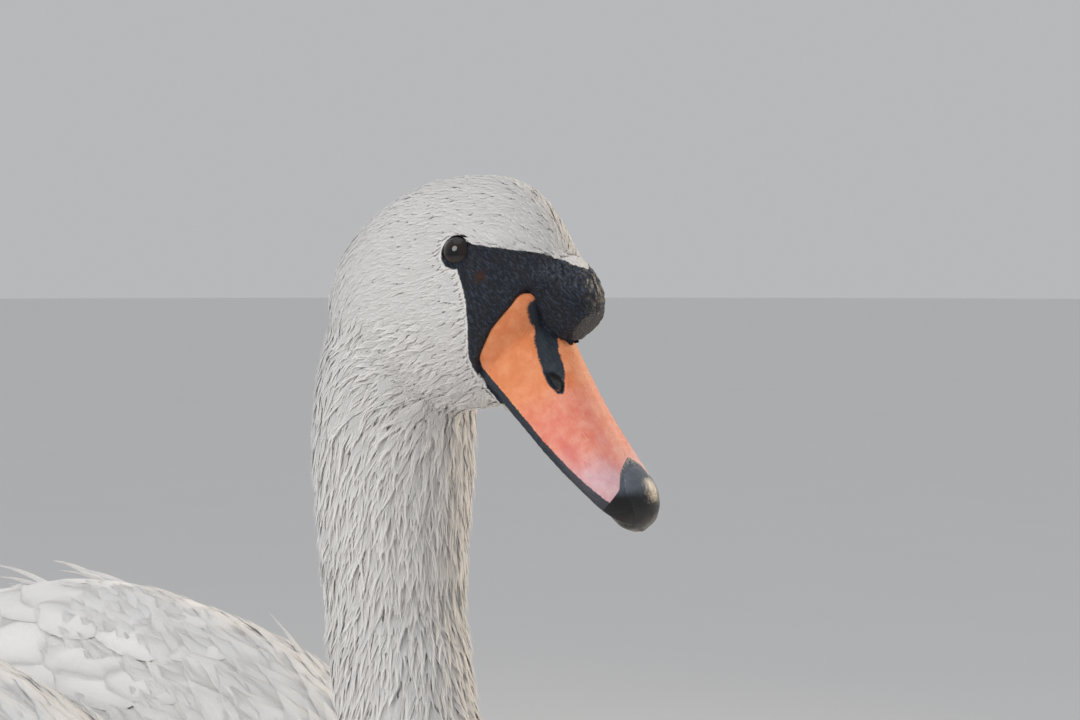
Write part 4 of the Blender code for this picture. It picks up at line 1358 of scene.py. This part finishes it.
def grow_coat():
    """Every layer of the coat, from the short down of the face to the quills of the wings and the tail."""
    x, _, z = skin_points.T
    bare = np.where(parts_in(skin_parts, "head", "bill_knob"), bare_depth(skin_points), -40)
    head, neck, trunk, wing, thigh = (parts_in(skin_parts, name)
                                      for name in ("head", "neck", "trunk", "wing", "thigh"))
    ahead, _, up = in_head(skin_points).T
    hind = np.where(wing, share("wing_left", 0, x), 0)
    up_neck = share("neck_upper", 2, z)
    chin = ease(44, 40, in_bill(skin_points)[:, 0])
    nape = np.maximum(neck * ease(0.38, 0.60, up_neck), head * ease(-20, -38, up) * ease(5, -12, ahead))
    breast = trunk * ease(*BREAST_LOCKS_X, x) * ease(*BREAST_LOCKS_Z, z)
    free = free_at(skin_points)
    put(skin.data, "free", "FLOAT", free)
    clear = 1 - (free > 0.05) * ease(-0.45, -0.65, skin_normals[:, 0])
    as_on_wings = (0.14, 0.14, 0.0020, 0.0030, 0.03, 0.0002)  # from Vary on
    made = {}
    for name, room, kind, finish, seed, *sizes in (  # the sizes are in the order of COAT_SIZES
        ("down_head", np.maximum(head, neck * ease(0.75, 0.85, up_neck)) * ease(0.1, -0.3, bare) * chin,
         "fleck", "fleck", 11, 0.0010, 0.0062, 0.0019, 0.3, 0.26, 0.0004, 0.00045, 0.0, 0.00003),
        ("down_nape", nape * ease(-3, -6, bare),
         "lock", "lock", 19, 0.0017, 0.0100, 0.0026, 0.3, 0.30, 0.0007, 0.0013, 0.0, 0.00008),
        ("down_neck", neck * ease(*NECK_LOCKS_Z, z) * ease(0.92, 0.62, up_neck),
         "lock", "lock", 12, 0.0017, 0.0160, 0.0033, 0.35, 0.26, 0.0010, 0.0021, 0.0, 0.00010),
        ("down_breast", np.maximum(neck, breast) * ease(*BREAST_TOP_Z, z),
         "lock", "lock", 13, 0.0027, 0.026, 0.0056, 0.3, 0.28, 0.0016, 0.0036, 0.04, 0.00016),
        ("feathers_body", (trunk | parts_in(skin_parts, "tail")) * clear,
         "body", "body", 14, 0.0071, 0.048, 0.018, 0.24, 0.24, 0.0022, 0.0034, 0.03, 0.0002),
        ("feathers_thigh", thigh * ease(-0.02, 0.04, share("thigh_left", 2, z)),
         "body", "body", 15, 0.0045, 0.028, 0.010, 0.25, 0.25, 0.0012, 0.0028, 0.03, 0.0002),
        ("feathers_shoulder", wing * ease(0.52, 0.60, hind) * clear,
         "body", "vane", 16, 0.0060, 0.056, 0.0135, *as_on_wings),
        ("coverts_middle", wing * ease(0.26, 0.32, hind) * ease(0.68, 0.60, hind) * clear,
         "covert", "vane", 17, 0.0088, 0.084, 0.019, *as_on_wings),
        ("coverts_rear", wing * ease(0.40, 0.32, hind) * clear,
         "round", "vane", 18, 0.0135, 0.088, 0.034, *as_on_wings),
    ):
        put(skin.data, "room", "FLOAT", np.clip(room, 0, 1))
        made[name] = grown(name, skin, SCATTER, kind, finish, seed, dict(zip(COAT_SIZES, sizes)))
    rng = np.random.default_rng(41)
    for side in SIDES:
        coverts, quills = wing_rows(side)
        for name, feathers, kind, finish, seed, sizes in (
            ("quills_", quills, "flight", "quill", 21,
             {"Vary": 0.05, "Turn": 0.04, "Rise": 0.0052, "Lift": 0.0010, "Thick": 0.0004, "Camber": 0.05}),
            ("coverts_", coverts, "covert", "vane", 23,
             {"Vary": 0.08, "Turn": 0.06, "Rise": 0.0056, "Lift": 0.0020, "Thick": 0.0004, "Camber": 0.06}),
            ("wisps_", crest_wisps(side, rng), "wisp", "vane", 25,
             {"Vary": 0.15, "Turn": 0.1, "Follow": 0.0}),
            ("primaries_", primaries(side), "flight", "quill", 27,
             {"Vary": 0.02, "Turn": 0.015, "Follow": 0.0}),
        ):
            made[name + side] = rows(name + side, feathers, kind, finish, seed, sizes)
    made["feathers_back"] = rows("feathers_back", back_feathers(rng), "round", "vane", 33,
                                 {"Vary": 0.1, "Turn": 0.10, "Rise": 0.0048, "Lift": 0.0030, "Camber": 0.04,
                                  "Follow": 0.75}, free=1)
    made["tail_coverts"] = rows("tail_coverts", tail_coverts(), "covert", "vane", 31,
                                {"Vary": 0.12, "Turn": 0.08, "Follow": 0.0})
    made["tail_quills"] = rows("tail_quills", tail_quills(), "flight", "quill", 29,
                               {"Vary": 0.03, "Turn": 0.02, "Follow": 0.0})
    return made


coat = grow_coat()


# ---- camera, light and floor ----
VIEW_AZIMUTH, VIEW_DISTANCE, VIEW_ASIDE, VIEW_DIP = math.radians(48), 0.937, 0.0167, math.radians(2.4)
RIGHT = np.array([math.cos(VIEW_AZIMUTH), math.sin(VIEW_AZIMUTH), 0])
INTO = np.array([-math.sin(VIEW_AZIMUTH), math.cos(VIEW_AZIMUTH), 0])


def aimed(made, place, target):
    made.location = Vector(place)
    made.rotation_mode = "QUATERNION"
    made.rotation_quaternion = Vector(np.asarray(target) - np.asarray(place)).to_track_quat("-Z", "Y")
    bpy.context.scene.collection.objects.link(made)
    return made


def floor_mesh(sides, radii):
    """A round, level floor of rings about the middle."""
    rings = [radius * circle(sides, np.array([1.0, 0, 0]), np.array([0, 1.0, 0])) for radius in radii]
    faces = [list(range(sides))]
    for inner in range(0, (len(radii) - 1) * sides, sides):
        faces += [(inner + k, inner + sides + k, inner + sides + n, inner + n)
                  for k, n in zip(range(sides), [*range(1, sides), 0])]
    return mesh_of("floor", np.concatenate(rings), faces)


def studio():
    """A camera beside the head, four soft lamps, an even pale surround and a floor."""
    lens = bpy.data.cameras.new("camera")
    lens.lens, lens.sensor_width = 85, 36
    lens.clip_start, lens.clip_end = 0.01, 100
    stand = BROW + VIEW_ASIDE * RIGHT - VIEW_DISTANCE * INTO
    look = stand + INTO * math.cos(VIEW_DIP) - UP * math.sin(VIEW_DIP)
    bpy.context.scene.camera = aimed(bpy.data.objects.new("camera", lens), stand, look)
    chest = np.array([BROW[0] * 0.6, 0, 0.45])
    for name, where, target, size, power, colour in (
        ("key", BROW - 1.5 * INTO - 1.3 * RIGHT + 1.1 * UP, BROW, 1.3, 27, (1.0, 0.985, 0.97)),
        ("rim", BROW + 1.2 * INTO + 1.7 * RIGHT + 0.5 * UP, BROW, 0.9, 26, (1.0, 0.80, 0.56)),
        ("back", chest + np.array([-1.6, 1.3, 1.5]), chest, 1.4, 3, (1.0, 0.97, 0.94)),
        ("top", chest + np.array([0.0, -0.4, 2.1]), chest, 1.6, 3, (1.0, 1.0, 1.0)),
    ):
        lamp = bpy.data.lights.new(name, "AREA")
        lamp.shape, lamp.size, lamp.energy, lamp.color = "DISK", size, power, colour
        aimed(bpy.data.objects.new(name, lamp), where, target)
    world = bpy.data.worlds.new("studio")
    world.use_nodes = True
    back = world.node_tree.nodes["Background"]
    back.inputs["Color"].default_value, back.inputs["Strength"].default_value = (0.66, 0.67, 0.69, 1), 0.72
    bpy.context.scene.world = world
    bpy.context.scene.view_settings.view_transform = "Standard"
    floor = object_of("floor", floor_mesh(sides=96, radii=(0.5, 3, 12, 40)))
    floor.data.materials.append(floor_finish())


studio()


# ---- what rides, and what it stands for ----
def hand_over(piece, stands_for=(), finish=None):
    if finish:
        piece.data.materials.append(finishes[finish])
    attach(piece, "root")
    if stands_for:
        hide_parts(*stands_for)


hand_over(skin, FLESH)
hand_over(bill_upper, ["bill_upper"], "bill")
hand_over(bill_lower, ["bill_lower"], "jaw")
hand_over(bill_nail, ["bill_nail"], "nail")
for side, ball in eyes.items():
    hand_over(ball, ["eye_" + side], "eye")
hand_over(toe_claws, (), "claw")
STANDS_FOR = {"tail_quills": ["tail"], "primaries_left": ["wing_tip_left"],
              "primaries_right": ["wing_tip_right"]}
for name, piece in coat.items():
    hand_over(piece, STANDS_FOR.get(name, ()))
